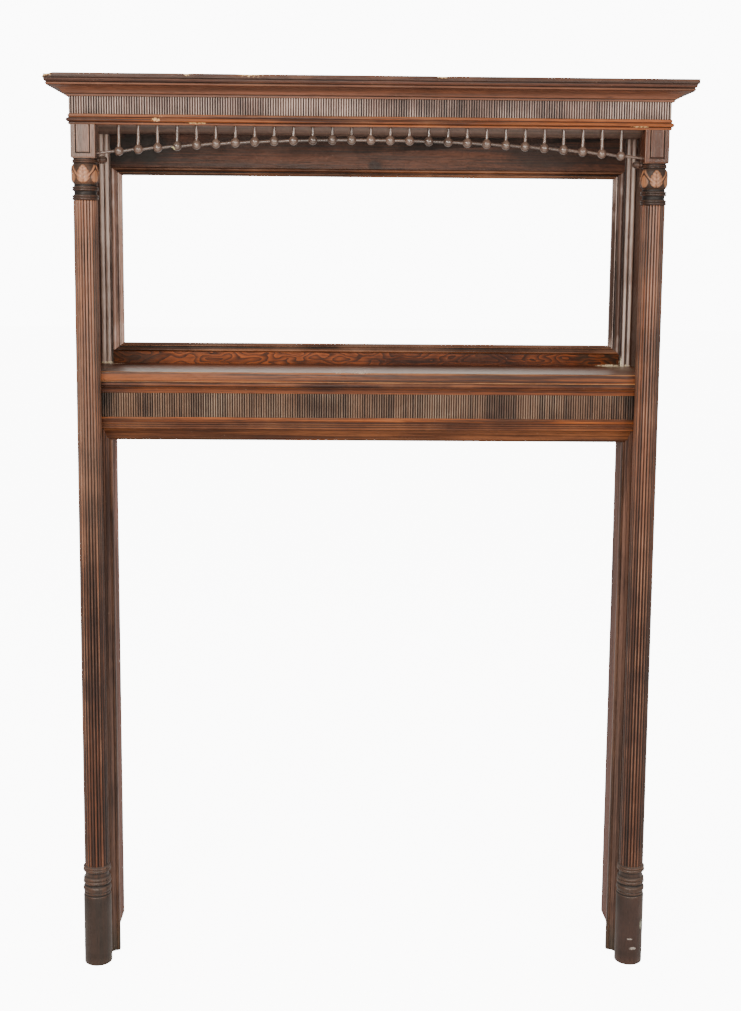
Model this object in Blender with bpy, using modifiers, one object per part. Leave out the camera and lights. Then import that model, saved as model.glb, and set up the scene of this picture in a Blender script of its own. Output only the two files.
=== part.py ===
"""Fireplace mantel with an overmantel: two reeded columns from the floor to a moulded
cornice, a shelf on a reeded lintel, an empty mirror opening and a stick-and-ball gallery.

Frame: metres, +Z up. The origin lies on the floor, midway across the width and the depth.
The front faces -Y and the wall side faces +Y.
"""
import math

import bmesh
import bpy
from mathutils import Vector

# Whole object
HEIGHT = 2.220
FRIEZE_WIDTH = 1.430
CROWN_PROJECTION = 0.053
CASE_DEPTH = 0.332          # frieze face to wall
GAP = 0.0003                # between touching pieces
BOARD = 0.018

# Levels of the lower part
OVERMANTEL_HEIGHT = 0.5895   # shelf top to soffit
SHELF_THICKNESS = 0.0255
BED_HEIGHT = 0.028
LOWER_FRIEZE_HEIGHT = 0.060
LINTEL_HEIGHT = 0.029
LINTEL_GROOVES = 3
LINTEL_GROOVE = 0.0015
OPENING_MOULDING_WIDTH = 0.0215
OPENING_MOULDING_RISE = 0.0300
OPENING_MOULDING_DEPTH = 0.0270
JAMB_REVEAL = 0.0122         # from the column's foot to the opening's edge
JAMB_RETURN_DEPTH = 0.078
JAMB_RETURN_FOOT = 0.068

# Levels of the cornice, down from the top
CROWN_HEIGHT = 0.048
UPPER_FRIEZE_HEIGHT = 0.041
ASTRAGAL_HEIGHT = 0.024
ASTRAGAL_RADIUS = 0.0046

# Shelf's nose, in front of the reeded frieze under it
SHELF_NOSE = 0.0141

# Reeds
REED_PITCH = 0.00595
REED_DEPTH = 0.0022

# Columns
BLOCK_INSET = 0.0025        # block's outer side behind the frieze's end
BLOCK_WIDTH = 0.058
BLOCK_HEIGHT = 0.079
BLOCK_GROOVE = 0.0025
BLOCK_MARGIN = 0.0125
SHAFT_TOP_RADIUS = 0.0292
SHAFT_FOOT_RADIUS = 0.0310
SHAFT_REEDS = 24
SHAFT_REED_DEPTH = 0.0022
FOOT_RINGS_HEIGHT = 0.080   # drum to the foot of the reeds
HEAD_RINGS_HEIGHT = 0.098   # top of the reeds to the block
DRUM_PROUD = 0.0040
DRUM_HEIGHT = 0.182
TORUS_PROUD = 0.0015
SHAFT_CLEARANCE = 0.0010
TURNING_STEPS = 16
JOIN = 0.0015               # how far turned ends reach into the shaft and the block
NECK_INSET = 0.0022         # glossy necks behind the reeds
CUSHION_SWELL = 0.0058
CUSHION_LEAVES = 8
CUSHION_CARVING = 0.0016

# Overmantel back
BACK_THICKNESS = 0.022
STILE_WIDTH = 0.0295
STILE_REEDS = 2
STILE_REED_DEPTH = 0.0036
STILE_REBATE = 0.0035        # dark gap beside the mirror moulding
STILE_REBATE_DEPTH = 0.012
BOTTOM_RAIL_HEIGHT = 0.0307
TOP_RAIL_SHOWS = 0.0827
FRAME_SIDE = 0.0275
FRAME_TOP = 0.0200
FRAME_BOTTOM = 0.0225
FRAME_PROUD = 0.0060

# Gallery
BALL_COUNT = 27
BALL_RADIUS = 0.0112
END_DOWEL_REACH = 0.0523    # last ball's centre to the block
DOWEL_RADIUS = 0.0034
STICK_TOP_RADIUS = 0.0031
STICK_FOOT_RADIUS = 0.0046
ARCH_CROWN_DROP = 0.0290    # middle ball's centre below the soffit
ARCH_DROP = 0.0313
BOSS_RADIUS = 0.0105
BOSS_LENGTH = 0.0240
BOSS_DROP = 0.0020          # boss centre below the block's underside

# What follows from the sizes above
DEPTH = CASE_DEPTH + CROWN_PROJECTION
FACE_Y = -DEPTH / 2 + CROWN_PROJECTION
WALL_Y = DEPTH / 2
BACK_Y = WALL_Y - BACK_THICKNESS
HALF = FRIEZE_WIDTH / 2
CROWN_FOOT = HEIGHT - CROWN_HEIGHT
FRIEZE_FOOT = CROWN_FOOT - UPPER_FRIEZE_HEIGHT
SOFFIT = FRIEZE_FOOT - ASTRAGAL_HEIGHT
AXIS_Y = FACE_Y + BLOCK_WIDTH / 2
BLOCK_FOOT = SOFFIT - GAP - BLOCK_HEIGHT
SHAFT_HEAD = BLOCK_FOOT - HEAD_RINGS_HEIGHT
SHAFT_FOOT = DRUM_HEIGHT + FOOT_RINGS_HEIGHT
DRUM_RADIUS = SHAFT_FOOT_RADIUS + DRUM_PROUD
SHELF_TOP = SOFFIT - OVERMANTEL_HEIGHT
SHELF_FOOT = SHELF_TOP - SHELF_THICKNESS
BED_FOOT = SHELF_FOOT - BED_HEIGHT
LOWER_FRIEZE_FOOT = BED_FOOT - LOWER_FRIEZE_HEIGHT
LINTEL_FOOT = LOWER_FRIEZE_FOOT - LINTEL_HEIGHT
OPENING_TOP = LINTEL_FOOT - OPENING_MOULDING_RISE
SHAFT_TAPER = (SHAFT_TOP_RADIUS - SHAFT_FOOT_RADIUS) / (SHAFT_HEAD - SHAFT_FOOT)
SHAFT_AT_LINTEL = SHAFT_FOOT_RADIUS + SHAFT_TAPER * (OPENING_TOP - SHAFT_FOOT)
LOWER_FRIEZE_Y = AXIS_Y + SHAFT_AT_LINTEL + SHAFT_CLEARANCE
LEG_Y = AXIS_Y + DRUM_RADIUS + TORUS_PROUD + GAP
SIDE_Y = LEG_Y + BOARD + GAP
SHELF_Y = LOWER_FRIEZE_Y - SHELF_NOSE
RETURN_Y = LOWER_FRIEZE_Y + OPENING_MOULDING_DEPTH
COLUMN_X = HALF - BLOCK_INSET - BLOCK_WIDTH / 2
NOSE_HALF = COLUMN_X - max(SHAFT_AT_LINTEL, BLOCK_WIDTH / 2) - 4 * GAP
OPENING_HALF = COLUMN_X - DRUM_RADIUS - JAMB_REVEAL
LEG_INNER = OPENING_HALF + OPENING_MOULDING_WIDTH
CASE_INNER = HALF - BOARD - GAP
STILE_INNER = CASE_INNER - STILE_WIDTH
FRAME_HALF = STILE_INNER - 4 * GAP
MIRROR_HALF_WIDTH = FRAME_HALF - FRAME_SIDE
MIRROR_BOTTOM = SHELF_TOP + BOTTOM_RAIL_HEIGHT + FRAME_BOTTOM + 2 * GAP
MIRROR_TOP = SOFFIT - TOP_RAIL_SHOWS - FRAME_TOP

# Which local axis becomes X, Y and Z when an outline is carried along an axis
AXIS_ORDER = {"x": "zxy", "y": "xzy", "z": "xyz"}


def clear_scene():
    """Remove whatever the file starts with."""
    for thing in list(bpy.data.objects):
        bpy.data.objects.remove(thing, do_unlink=True)


def oak(name, colour, roughness):
    """Plain stained oak for one piece."""
    material = bpy.data.materials.new(name)
    material.use_nodes = True
    shader = material.node_tree.nodes["Principled BSDF"]
    shader.inputs["Base Color"].default_value = (*colour, 1.0)
    shader.inputs["Roughness"].default_value = roughness
    return material


DARK_OAK = (0.105, 0.045, 0.022)
WARM_OAK = (0.170, 0.070, 0.030)
RED_OAK = (0.135, 0.048, 0.028)


def add_piece(name, mesh, colour=DARK_OAK, roughness=0.42):
    """Put a mesh in the parts collection as a named piece with its own material."""
    mesh.name = name
    mesh.materials.clear()
    mesh.materials.append(oak(name + "_oak", colour, roughness))
    piece = bpy.data.objects.new(name, mesh)
    bpy.data.collections["fireplace_mantel"].objects.link(piece)
    return piece


def draft_mesh(data, modifiers=()):
    """Mesh of a curve or mesh after its modifiers, welded and facing outwards."""
    draft = bpy.data.objects.new("draft", data)
    bpy.context.scene.collection.objects.link(draft)
    for kind, settings in modifiers:
        modifier = draft.modifiers.new(kind.lower(), kind)
        for key, value in settings.items():
            setattr(modifier, key, value)
    bpy.context.view_layer.update()
    evaluated = draft.evaluated_get(bpy.context.evaluated_depsgraph_get())
    mesh = bpy.data.meshes.new_from_object(evaluated)
    bpy.data.objects.remove(draft, do_unlink=True)
    weld(mesh)
    return mesh


def weld(mesh, distance=0.00001):
    """Join coincident points and turn every face outwards."""
    work = bmesh.new()
    work.from_mesh(mesh)
    bmesh.ops.remove_doubles(work, verts=work.verts, dist=distance)
    bmesh.ops.recalc_face_normals(work, faces=work.faces)
    work.to_mesh(mesh)
    work.free()


def shade_round(mesh, sharp_degrees=35):
    """Shade a turned or carved mesh smooth, but keep its real edges sharp."""
    mesh.shade_smooth()
    mesh.set_sharp_from_angle(angle=math.radians(sharp_degrees))


def extrusion(outline, low, high, along):
    """Closed outline carried straight along one axis, from low to high.

    The outline's two coordinates are (Y, Z) along x, (X, Z) along y and (X, Y) along z.
    """
    curve = bpy.data.curves.new("outline", "CURVE")
    curve.dimensions = "2D"
    curve.fill_mode = "BOTH"
    curve.extrude = (high - low) / 2
    spline = curve.splines.new("POLY")
    spline.points.add(len(outline) - 1)
    for point, (a, b) in zip(spline.points, outline):
        point.co = (a, b, 0, 1)
    spline.use_cyclic_u = True
    mesh = draft_mesh(curve)
    middle = Vector((0, 0, (high + low) / 2))
    for vertex in mesh.vertices:
        local = vertex.co + middle
        vertex.co = [getattr(local, letter) for letter in AXIS_ORDER[along]]
    weld(mesh)
    return mesh


def box(x0, x1, y0, y1, z0, z1):
    """Plain board between two corners."""
    mesh = bpy.data.meshes.new("board")
    work = bmesh.new()
    bmesh.ops.create_cube(work, size=1.0)
    middle = Vector((x0 + x1, y0 + y1, z0 + z1)) / 2
    size = Vector((x1 - x0, y1 - y0, z1 - z0))
    for vertex in work.verts:
        vertex.co = vertex.co * size + middle
    work.to_mesh(mesh)
    work.free()
    return mesh


def shear_end(mesh, axis, middle, end, shift):
    """Slide the points of one end along the axis by shift(point), for a mitre."""
    for vertex in mesh.vertices:
        if (vertex.co[axis] - middle) * end > 0:
            vertex.co[axis] += end * shift(vertex.co)


def mirrored(mesh):
    """Copy of a mesh for the other side of the middle plane."""
    copy = mesh.copy()
    for vertex in copy.vertices:
        vertex.co.x = -vertex.co.x
    weld(copy)
    return copy


def add_pair(name, mesh, colour=DARK_OAK, roughness=0.42):
    """The right-hand piece and its mirror image on the left."""
    add_piece(name + "_left", mirrored(mesh), colour, roughness)
    add_piece(name + "_right", mesh, colour, roughness)


def arc(centre, radii, start, end, steps):
    """Points on an elliptical arc with the two radii given, angles in degrees."""
    points = []
    for i in range(steps + 1):
        angle = math.radians(start + (end - start) * i / steps)
        points.append((centre[0] + radii[0] * math.cos(angle), centre[1] + radii[1] * math.sin(angle)))
    return points


def reed_points(low, high, face, depth, count):
    """Crests and hollows of a row of reeds from low to high."""
    pitch = (high - low) / count
    points = []
    for i in range(count):
        points.append((low + i * pitch, face + depth))
        points.append((low + (i + 0.5) * pitch, face))
    points.append((high, face + depth))
    return points


def crown_profile():
    """Crown section as (projection from the frieze face, height).

    Fascia, reverse curve, small bead, large cove and fillet, all in parts of the crown's
    own projection and height.
    """
    p, h = CROWN_PROJECTION, CROWN_HEIGHT
    shape = [(1.0, 0.0), (1.0, 0.23), (0.92, 0.25), (0.87, 0.42), (0.82, 0.43)]
    shape += arc((0.80, 0.495), (0.05, 0.05), -60, 60, 3)
    shape += arc((0.86, 0.90), (0.62, 0.34), 262, 185, 4)
    shape += [(0.20, 0.885), (0.115, 0.89), (0.115, 1.0)]
    points = [(p * a, HEIGHT - h * b) for a, b in shape]
    return [(-BOARD, HEIGHT)] + points + [(-BOARD, CROWN_FOOT)]


def astragal_profile():
    """Astragal section as (projection from the frieze face, height)."""
    h = ASTRAGAL_HEIGHT
    shape = [(0.0010, 0.01), (0.0018, 0.34)]
    shape += arc((0.0015, 0.57), (ASTRAGAL_RADIUS, ASTRAGAL_RADIUS / h), -80, 80, 5)
    shape += [(0.0012, 0.81), (0.0012, 1.0)]
    points = [(a, FRIEZE_FOOT - h * b) for a, b in shape]
    return [(-BOARD, points[0][1])] + points + [(-BOARD, SOFFIT)]


def round_the_case(name, profile, colour):
    """Front length and two returns of one moulding, mitred at the front corners."""
    front = extrusion([(FACE_Y - p, z) for p, z in profile], -HALF, HALF, "x")
    for end in (-1, 1):
        shear_end(front, 0, 0, end, lambda co: FACE_Y - co.y - GAP / 2)
    add_piece(name + "_front", front, colour)
    side = extrusion([(HALF + p, z) for p, z in profile], FACE_Y, WALL_Y, "y")
    middle = (FACE_Y + WALL_Y) / 2
    shear_end(side, 1, middle, -1, lambda co: co.x - HALF - GAP / 2)
    add_pair(name + "_return", side, colour)


def make_cornice():
    """Crown, reeded frieze, astragal, side boards, top board and soffit."""
    round_the_case("crown", crown_profile(), DARK_OAK)
    round_the_case("astragal", astragal_profile(), WARM_OAK)
    front = FACE_Y + BOARD + GAP
    add_piece("cornice_top_board", box(-CASE_INNER, CASE_INNER, front, WALL_Y, HEIGHT - BOARD, HEIGHT))
    outline = reed_points(-HALF, HALF, FACE_Y, REED_DEPTH, round(FRIEZE_WIDTH / REED_PITCH))
    outline += [(HALF, FACE_Y + BOARD), (-HALF, FACE_Y + BOARD)]
    add_piece("upper_frieze", extrusion(outline, FRIEZE_FOOT, CROWN_FOOT - GAP, "z"))
    side = box(HALF - BOARD, HALF, front, WALL_Y, FRIEZE_FOOT, CROWN_FOOT - GAP)
    add_pair("frieze_return", side)
    soffit = box(-CASE_INNER, CASE_INNER, front, BACK_Y - GAP, SOFFIT, SOFFIT + 0.012)
    add_piece("soffit_board", soffit)


def frame_profile(width, face, outer_sign):
    """Section of the mirror moulding: bead outside, small bead, chamfer to the opening.

    The first coordinate runs from the opening's edge outwards, in outer_sign's direction.
    """
    low = face + 0.001
    points = [(0, WALL_Y), (0, face + 0.004), (0.22 * width, face - 0.001), (0.24 * width, face - 0.003)]
    points += [(0.34 * width, face - 0.003), (0.36 * width, low), (0.58 * width, low)]
    points += arc((0.79 * width, low), (0.19 * width, -FRAME_PROUD - 0.001), 165, 15, 4)
    points += [(width, low), (width, WALL_Y)]
    return [(outer_sign * p, y) for p, y in points]


def make_back():
    """Rails, reeded stiles and the moulding round the empty mirror opening."""
    top = HEIGHT - BOARD - GAP
    foot = SHELF_FOOT
    rail_foot = MIRROR_TOP + FRAME_TOP + GAP
    half = [(FRAME_HALF, rail_foot), (FRAME_HALF, SOFFIT), (CASE_INNER, SOFFIT), (CASE_INNER, top)]
    outline = half + [(-x, z) for x, z in reversed(half)]
    add_piece("top_rail", extrusion(outline, BACK_Y, WALL_Y, "y"), WARM_OAK)
    rail_top = MIRROR_BOTTOM - FRAME_BOTTOM - GAP
    add_piece("bottom_rail", box(-FRAME_HALF, FRAME_HALF, BACK_Y, WALL_Y, foot, rail_top), WARM_OAK)
    sunk = BACK_Y + STILE_REBATE_DEPTH
    first = STILE_INNER + STILE_REBATE
    outline = [(STILE_INNER, WALL_Y), (STILE_INNER, sunk), (first, sunk)]
    reed = (STILE_WIDTH - STILE_REBATE) / STILE_REEDS
    for i in range(STILE_REEDS):
        middle = (first + (i + 0.5) * reed, BACK_Y + STILE_REED_DEPTH)
        outline += arc(middle, (reed / 2, -STILE_REED_DEPTH), 180, 0, 8)[min(i, 1):]
    outline += [(CASE_INNER, WALL_Y)]
    add_pair("reeded_stile", extrusion(outline, foot, SOFFIT - GAP, "z"))
    reach = FRAME_HALF
    for name, level, width, sign in (("top", MIRROR_TOP, FRAME_TOP, 1), ("bottom", MIRROR_BOTTOM, FRAME_BOTTOM, -1)):
        section = [(y, level + p) for p, y in frame_profile(width, BACK_Y, sign)]
        length = extrusion(section, -reach, reach, "x")
        slope = FRAME_SIDE / width
        for end in (-1, 1):
            shear_end(length, 0, 0, end,
                      lambda co: MIRROR_HALF_WIDTH - reach + slope * abs(co.z - level) - GAP / 2)
        add_piece("mirror_moulding_" + name, length, WARM_OAK)
    section = [(MIRROR_HALF_WIDTH + p, y) for p, y in frame_profile(FRAME_SIDE, BACK_Y, 1)]
    side = extrusion(section, MIRROR_BOTTOM, MIRROR_TOP, "z")
    middle = (MIRROR_BOTTOM + MIRROR_TOP) / 2
    for end, width in ((-1, FRAME_BOTTOM), (1, FRAME_TOP)):
        slope = width / FRAME_SIDE
        shear_end(side, 2, middle, end, lambda co: slope * (co.x - MIRROR_HALF_WIDTH) - GAP / 2)
    add_pair("mirror_moulding", side, WARM_OAK)


def make_shelf():
    """Shelf in front of the back boards, with the bead and cove below its nose."""
    shoulder = LOWER_FRIEZE_Y + GAP
    right = [(CASE_INNER, BACK_Y - GAP), (CASE_INNER, SIDE_Y - GAP), (HALF, SIDE_Y - GAP)]
    right += [(HALF, shoulder), (NOSE_HALF, shoulder), (NOSE_HALF, SHELF_Y)]
    outline = right + [(-x, y) for x, y in reversed(right)]
    add_piece("shelf", extrusion(outline, SHELF_FOOT, SHELF_TOP, "z"), WARM_OAK, 0.25)
    top = SHELF_FOOT - GAP
    h = top - BED_FOOT
    back = LOWER_FRIEZE_Y + BOARD
    bead = SHELF_Y + 0.27 * SHELF_NOSE
    section = [(back, top), (bead, top)]
    section += arc((bead, top - 0.22 * h), (-0.23 * SHELF_NOSE, 0.15 * h), 70, -70, 4)
    section += [(bead, top - 0.40 * h)]
    reach = LOWER_FRIEZE_Y - bead
    section += arc((bead, BED_FOOT + 0.04 * h), (0.96 * reach, 0.54 * h), 85, 5, 4)
    section += [(LOWER_FRIEZE_Y, BED_FOOT), (back, BED_FOOT)]
    run = extrusion(section, -NOSE_HALF, NOSE_HALF, "x")
    board = box(-HALF, HALF, LOWER_FRIEZE_Y + REED_DEPTH, back, BED_FOOT, top)
    add_piece("bed_moulding", union(run, [board]))


def make_lintel():
    """Reeded lower frieze and the grooved board under it, both behind the columns."""
    y = LOWER_FRIEZE_Y
    back = y + BOARD
    outline = [(-HALF, y + REED_DEPTH)]
    outline += reed_points(-LEG_INNER, LEG_INNER, y, REED_DEPTH, round(2 * LEG_INNER / REED_PITCH))
    outline += [(HALF, y + REED_DEPTH), (HALF, back), (-HALF, back)]
    foot = LOWER_FRIEZE_FOOT + GAP
    add_piece("lower_frieze", extrusion(outline, foot, BED_FOOT - GAP, "z"))
    top = LOWER_FRIEZE_FOOT
    foot = LINTEL_FOOT + GAP
    section = [(back, top), (y, top)]
    for i in range(LINTEL_GROOVES):
        groove = top - LINTEL_HEIGHT * (0.43 + 0.17 * i)
        section += [(y, groove), (y + LINTEL_GROOVE, groove - 0.0008), (y, groove - 0.0020)]
    section += [(y, foot), (back, foot)]
    add_piece("lintel_board", extrusion(section, -HALF, HALF, "x"), WARM_OAK)


def opening_section(width):
    """Rounded moulding as (distance from the opening's edge, setback from the face)."""
    depth = OPENING_MOULDING_DEPTH
    points = [(width, depth + 0.004), (width, 0)]
    for i in range(1, 6):
        angle = math.radians(18 * i)
        points.append((width * (0.18 + 0.82 * math.cos(angle)), 0.62 * depth * math.sin(angle) ** 1.2))
    points += [(0.16 * width, 0.70 * depth), (0, 0.72 * depth), (0, depth + 0.004)]
    return points


def make_legs():
    """Moulding round the fireplace opening, leg boards, jamb returns and outer sides."""
    rise = LINTEL_FOOT - OPENING_TOP
    section = [(LOWER_FRIEZE_Y + s, OPENING_TOP + d) for d, s in opening_section(rise)]
    head = extrusion(section, -LEG_INNER, LEG_INNER, "x")
    slope = OPENING_MOULDING_WIDTH / rise
    for end in (-1, 1):
        shear_end(head, 0, 0, end, lambda co: slope * (co.z - LINTEL_FOOT) - GAP / 2)
    add_piece("opening_moulding_top", head, WARM_OAK)
    section = [(OPENING_HALF + d, LOWER_FRIEZE_Y + s) for d, s in opening_section(OPENING_MOULDING_WIDTH)]
    side = extrusion(section, 0, OPENING_TOP, "z")
    shear_end(side, 2, OPENING_TOP / 2, 1, lambda co: (co.x - OPENING_HALF) / slope - GAP / 2)
    add_pair("opening_moulding", side, WARM_OAK)
    leg = box(LEG_INNER + GAP, HALF, LEG_Y, LEG_Y + BOARD, 0, LINTEL_FOOT)
    add_pair("leg_board", leg)
    start = RETURN_Y + 0.004 + GAP
    jamb = box(OPENING_HALF, OPENING_HALF + BOARD, start, RETURN_Y + JAMB_RETURN_DEPTH,
               JAMB_RETURN_FOOT, OPENING_TOP)
    add_pair("jamb_return", jamb, RED_OAK, 0.35)
    side = box(HALF - BOARD, HALF, SIDE_Y, WALL_Y, 0, SOFFIT - GAP)
    add_pair("side_board", side)


def turned(profile, steps):
    """Solid turned about Z from (radius, height) points that begin and end on the axis."""
    mesh = bpy.data.meshes.new("profile")
    edges = [(i, i + 1) for i in range(len(profile) - 1)]
    mesh.from_pydata([(r, 0, z) for r, z in profile], edges, [])
    screw = {"axis": "Z", "angle": 2 * math.pi, "steps": steps, "render_steps": steps,
             "use_merge_vertices": True, "merge_threshold": 0.0001}
    return draft_mesh(mesh, [("SCREW", screw)])


def ring(radius, low, high, swell):
    """Three points of a rounded ring, swelling out from radius."""
    return [(radius, low), (radius + swell, (low + high) / 2), (radius, high)]


def foot_profile():
    """Drum, torus and three rings below the reeds, from the floor up.

    Levels are parts of the rings' height.
    """
    r = DRUM_RADIUS
    neck = SHAFT_FOOT_RADIUS - 0.0030
    levels = [DRUM_HEIGHT + FOOT_RINGS_HEIGHT * t for t in (0, 0.10, 0.15, 0.31, 0.40, 0.47, 0.64, 0.73, 0.88)]
    points = [(0, 0), (r, 0), (r, levels[0]), (r - 0.0030, levels[1])]
    points += ring(r - 0.0006, levels[2], levels[3], TORUS_PROUD + 0.0006)
    points += [(neck, levels[4])]
    points += ring(neck + 0.0035, levels[5], levels[6], 0.0028)
    points += [(neck, levels[7])]
    top = SHAFT_FOOT + JOIN
    return points + [(neck + 0.0055, levels[8]), (neck + 0.0040, top), (0, top)]


def head_profile():
    """Rings, neck and carved cushion between the reeds and the square block."""
    neck = SHAFT_TOP_RADIUS - NECK_INSET
    levels = [SHAFT_HEAD + HEAD_RINGS_HEIGHT * t for t in (0, 0.11, 0.17, 0.23, 0.35, 0.90, 0.97)]
    points = [(0, levels[0] - JOIN), (neck + 0.0010, levels[0] - JOIN)]
    points += ring(neck + 0.0022, levels[0], levels[1], 0.0020)
    points += [(neck, levels[2])]
    points += ring(neck + 0.0022, levels[3], levels[4], 0.0020)
    low, high = cushion_span()
    for i in range(5):
        t = i / 4
        bulge = math.sin(math.pi * (0.12 + 0.78 * t)) ** 0.7
        points.append((neck + CUSHION_SWELL * bulge, low + (high - low) * t))
    points += ring(neck + 0.0010, levels[5], levels[6], 0.0007)
    top = BLOCK_FOOT + JOIN
    return points + [(neck + 0.0010, top), (0, top)]


def cushion_span():
    """Lower and upper level of the carved cushion."""
    return SHAFT_HEAD + 0.42 * HEAD_RINGS_HEIGHT, SHAFT_HEAD + 0.88 * HEAD_RINGS_HEIGHT


def carve_cushion(mesh):
    """Raise leaf ribs round the cushion and sink the ground between them."""
    low, high = cushion_span()
    for vertex in mesh.vertices:
        if low - 0.0001 < vertex.co.z < high + 0.0001:
            level = (vertex.co.z - low) / (high - low)
            angle = math.atan2(vertex.co.y, vertex.co.x)
            push = CUSHION_CARVING * math.cos(CUSHION_LEAVES * angle) * math.sin(math.pi * level) ** 2
            out = Vector((vertex.co.x, vertex.co.y, 0)).normalized()
            vertex.co += push * out


def reeded_shaft():
    """Tapered shaft with reeds all round."""
    outline = []
    for i in range(2 * SHAFT_REEDS):
        radius = SHAFT_FOOT_RADIUS - (i % 2) * SHAFT_REED_DEPTH
        angle = math.pi * i / SHAFT_REEDS
        outline.append((radius * math.cos(angle), radius * math.sin(angle)))
    mesh = extrusion(outline, SHAFT_FOOT, SHAFT_HEAD, "z")
    for vertex in mesh.vertices:
        if vertex.co.z > (SHAFT_FOOT + SHAFT_HEAD) / 2:
            vertex.co.x *= SHAFT_TOP_RADIUS / SHAFT_FOOT_RADIUS
            vertex.co.y *= SHAFT_TOP_RADIUS / SHAFT_FOOT_RADIUS
    return mesh


def block_mesh():
    """Square block with a sunk panel on its front, open at the top."""
    half = BLOCK_WIDTH / 2
    edge = half - BLOCK_MARGIN
    outer = [(-half, half), (-half, -half), (-edge, -half), (-edge, BLOCK_GROOVE - half)]
    outline = outer + [(-x, y) for x, y in reversed(outer)]
    return extrusion(outline, BLOCK_FOOT, BLOCK_FOOT + BLOCK_HEIGHT, "z")


def union(mesh, others):
    """One solid from overlapping ones."""
    helpers = []
    modifiers = []
    for other in others:
        helper = bpy.data.objects.new("helper", other)
        bpy.context.scene.collection.objects.link(helper)
        helpers.append(helper)
        modifiers.append(("BOOLEAN", {"operation": "UNION", "solver": "EXACT", "object": helper}))
    result = draft_mesh(mesh, modifiers)
    for helper in helpers:
        bpy.data.objects.remove(helper, do_unlink=True)
    return result


def make_columns():
    """Two columns, each one length of wood from the floor to the soffit."""
    foot = turned(foot_profile(), TURNING_STEPS)
    head = turned(head_profile(), TURNING_STEPS)
    carve_cushion(head)
    column = union(reeded_shaft(), [foot, head, block_mesh()])
    for vertex in column.vertices:
        vertex.co += Vector((COLUMN_X, AXIS_Y, 0))
    shade_round(column)
    add_pair("column", column)


def arch(x, half_span):
    """Height of the gallery's line of balls over x."""
    return SOFFIT - ARCH_CROWN_DROP - ARCH_DROP * (x / half_span) ** 2


def tube(curve, points):
    """Add one round-section run of (x, z, radius) points to a curve."""
    spline = curve.splines.new("POLY")
    spline.points.add(len(points) - 1)
    for point, (x, z, radius) in zip(spline.points, points):
        point.co = (x, AXIS_Y, z, 1)
        point.radius = radius


def tube_curve():
    """Empty curve whose runs get a six-sided round section."""
    curve = bpy.data.curves.new("runs", "CURVE")
    curve.dimensions = "3D"
    curve.bevel_depth = 1.0
    curve.bevel_resolution = 1
    curve.use_fill_caps = True
    return curve


def make_gallery():
    """Balls on dowels in a shallow arch, hung from the soffit on tapered sticks."""
    block_side = COLUMN_X - BLOCK_WIDTH / 2 - GAP
    boss_x = block_side - BOSS_LENGTH
    boss_z = BLOCK_FOOT - BOSS_DROP
    span = block_side - END_DOWEL_REACH
    centres = [span * (2 * i / (BALL_COUNT - 1) - 1) for i in range(BALL_COUNT)]
    run_end = block_side - 2 * GAP
    run = [(-run_end, arch(run_end, span), DOWEL_RADIUS)]
    for x in centres:
        for step, swell in ((-0.95, 0.0), (-0.42, 0.95), (0.42, 0.95), (0.95, 0.0)):
            reach = x + step * BALL_RADIUS
            run.append((reach, arch(x, span), DOWEL_RADIUS + swell * (BALL_RADIUS - DOWEL_RADIUS)))
    run.append((run_end, arch(run_end, span), DOWEL_RADIUS))
    line = tube_curve()
    tube(line, run)
    sticks = tube_curve()
    for x in centres:
        foot = arch(x, span) + 0.5 * BALL_RADIUS
        tube(sticks, [(x, foot, STICK_FOOT_RADIUS), (x, SOFFIT - GAP, STICK_TOP_RADIUS)])
    spindles = union(draft_mesh(line), [draft_mesh(sticks)])
    shade_round(spindles)
    add_piece("gallery", spindles)
    shape = [(0, 0), (0.72, 0), (0.80, 0.16), (1.0, 0.40), (0.98, 0.66), (0.72, 0.90), (0.35, 1.0), (0, 1.0)]
    boss = turned([(r * BOSS_RADIUS, h * BOSS_LENGTH) for r, h in shape], 8)
    for vertex in boss.vertices:
        across, along = vertex.co.x, vertex.co.z
        vertex.co = (boss_x + BOSS_LENGTH - along, AXIS_Y + vertex.co.y, boss_z + across)
    weld(boss)
    shade_round(boss)
    add_pair("gallery_boss", boss)


def main():
    clear_scene()
    parts = bpy.data.collections.new("fireplace_mantel")
    bpy.context.scene.collection.children.link(parts)
    make_cornice()
    make_back()
    make_shelf()
    make_lintel()
    make_legs()
    make_columns()
    make_gallery()


main()
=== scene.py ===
"""Looks of the fireplace mantel: dark stained oak, worn and dusty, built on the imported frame.

Metres, +Z up. The front faces -Y and the wall side +Y. Every piece is a stack of closed
rings worked out with numpy, with its place in its mesh.
"""
import math

import bpy
import numpy as np
from mathutils import Matrix, Vector


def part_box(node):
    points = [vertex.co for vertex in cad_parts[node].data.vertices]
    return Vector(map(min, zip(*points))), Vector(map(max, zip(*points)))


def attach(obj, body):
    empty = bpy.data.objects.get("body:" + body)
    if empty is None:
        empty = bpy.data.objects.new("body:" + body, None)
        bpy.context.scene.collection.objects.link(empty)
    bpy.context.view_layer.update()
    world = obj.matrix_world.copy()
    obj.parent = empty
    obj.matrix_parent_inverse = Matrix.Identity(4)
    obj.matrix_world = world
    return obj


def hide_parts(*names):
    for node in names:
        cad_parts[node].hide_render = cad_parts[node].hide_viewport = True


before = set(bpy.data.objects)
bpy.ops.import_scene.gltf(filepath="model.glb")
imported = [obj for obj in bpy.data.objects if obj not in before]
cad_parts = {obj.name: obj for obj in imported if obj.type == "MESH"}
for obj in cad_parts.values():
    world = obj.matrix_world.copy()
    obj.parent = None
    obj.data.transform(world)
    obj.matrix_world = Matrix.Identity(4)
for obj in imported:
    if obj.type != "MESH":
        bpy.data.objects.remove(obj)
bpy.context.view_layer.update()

GAP = 0.0003
SIDES = (("left", -1), ("right", 1))


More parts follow.
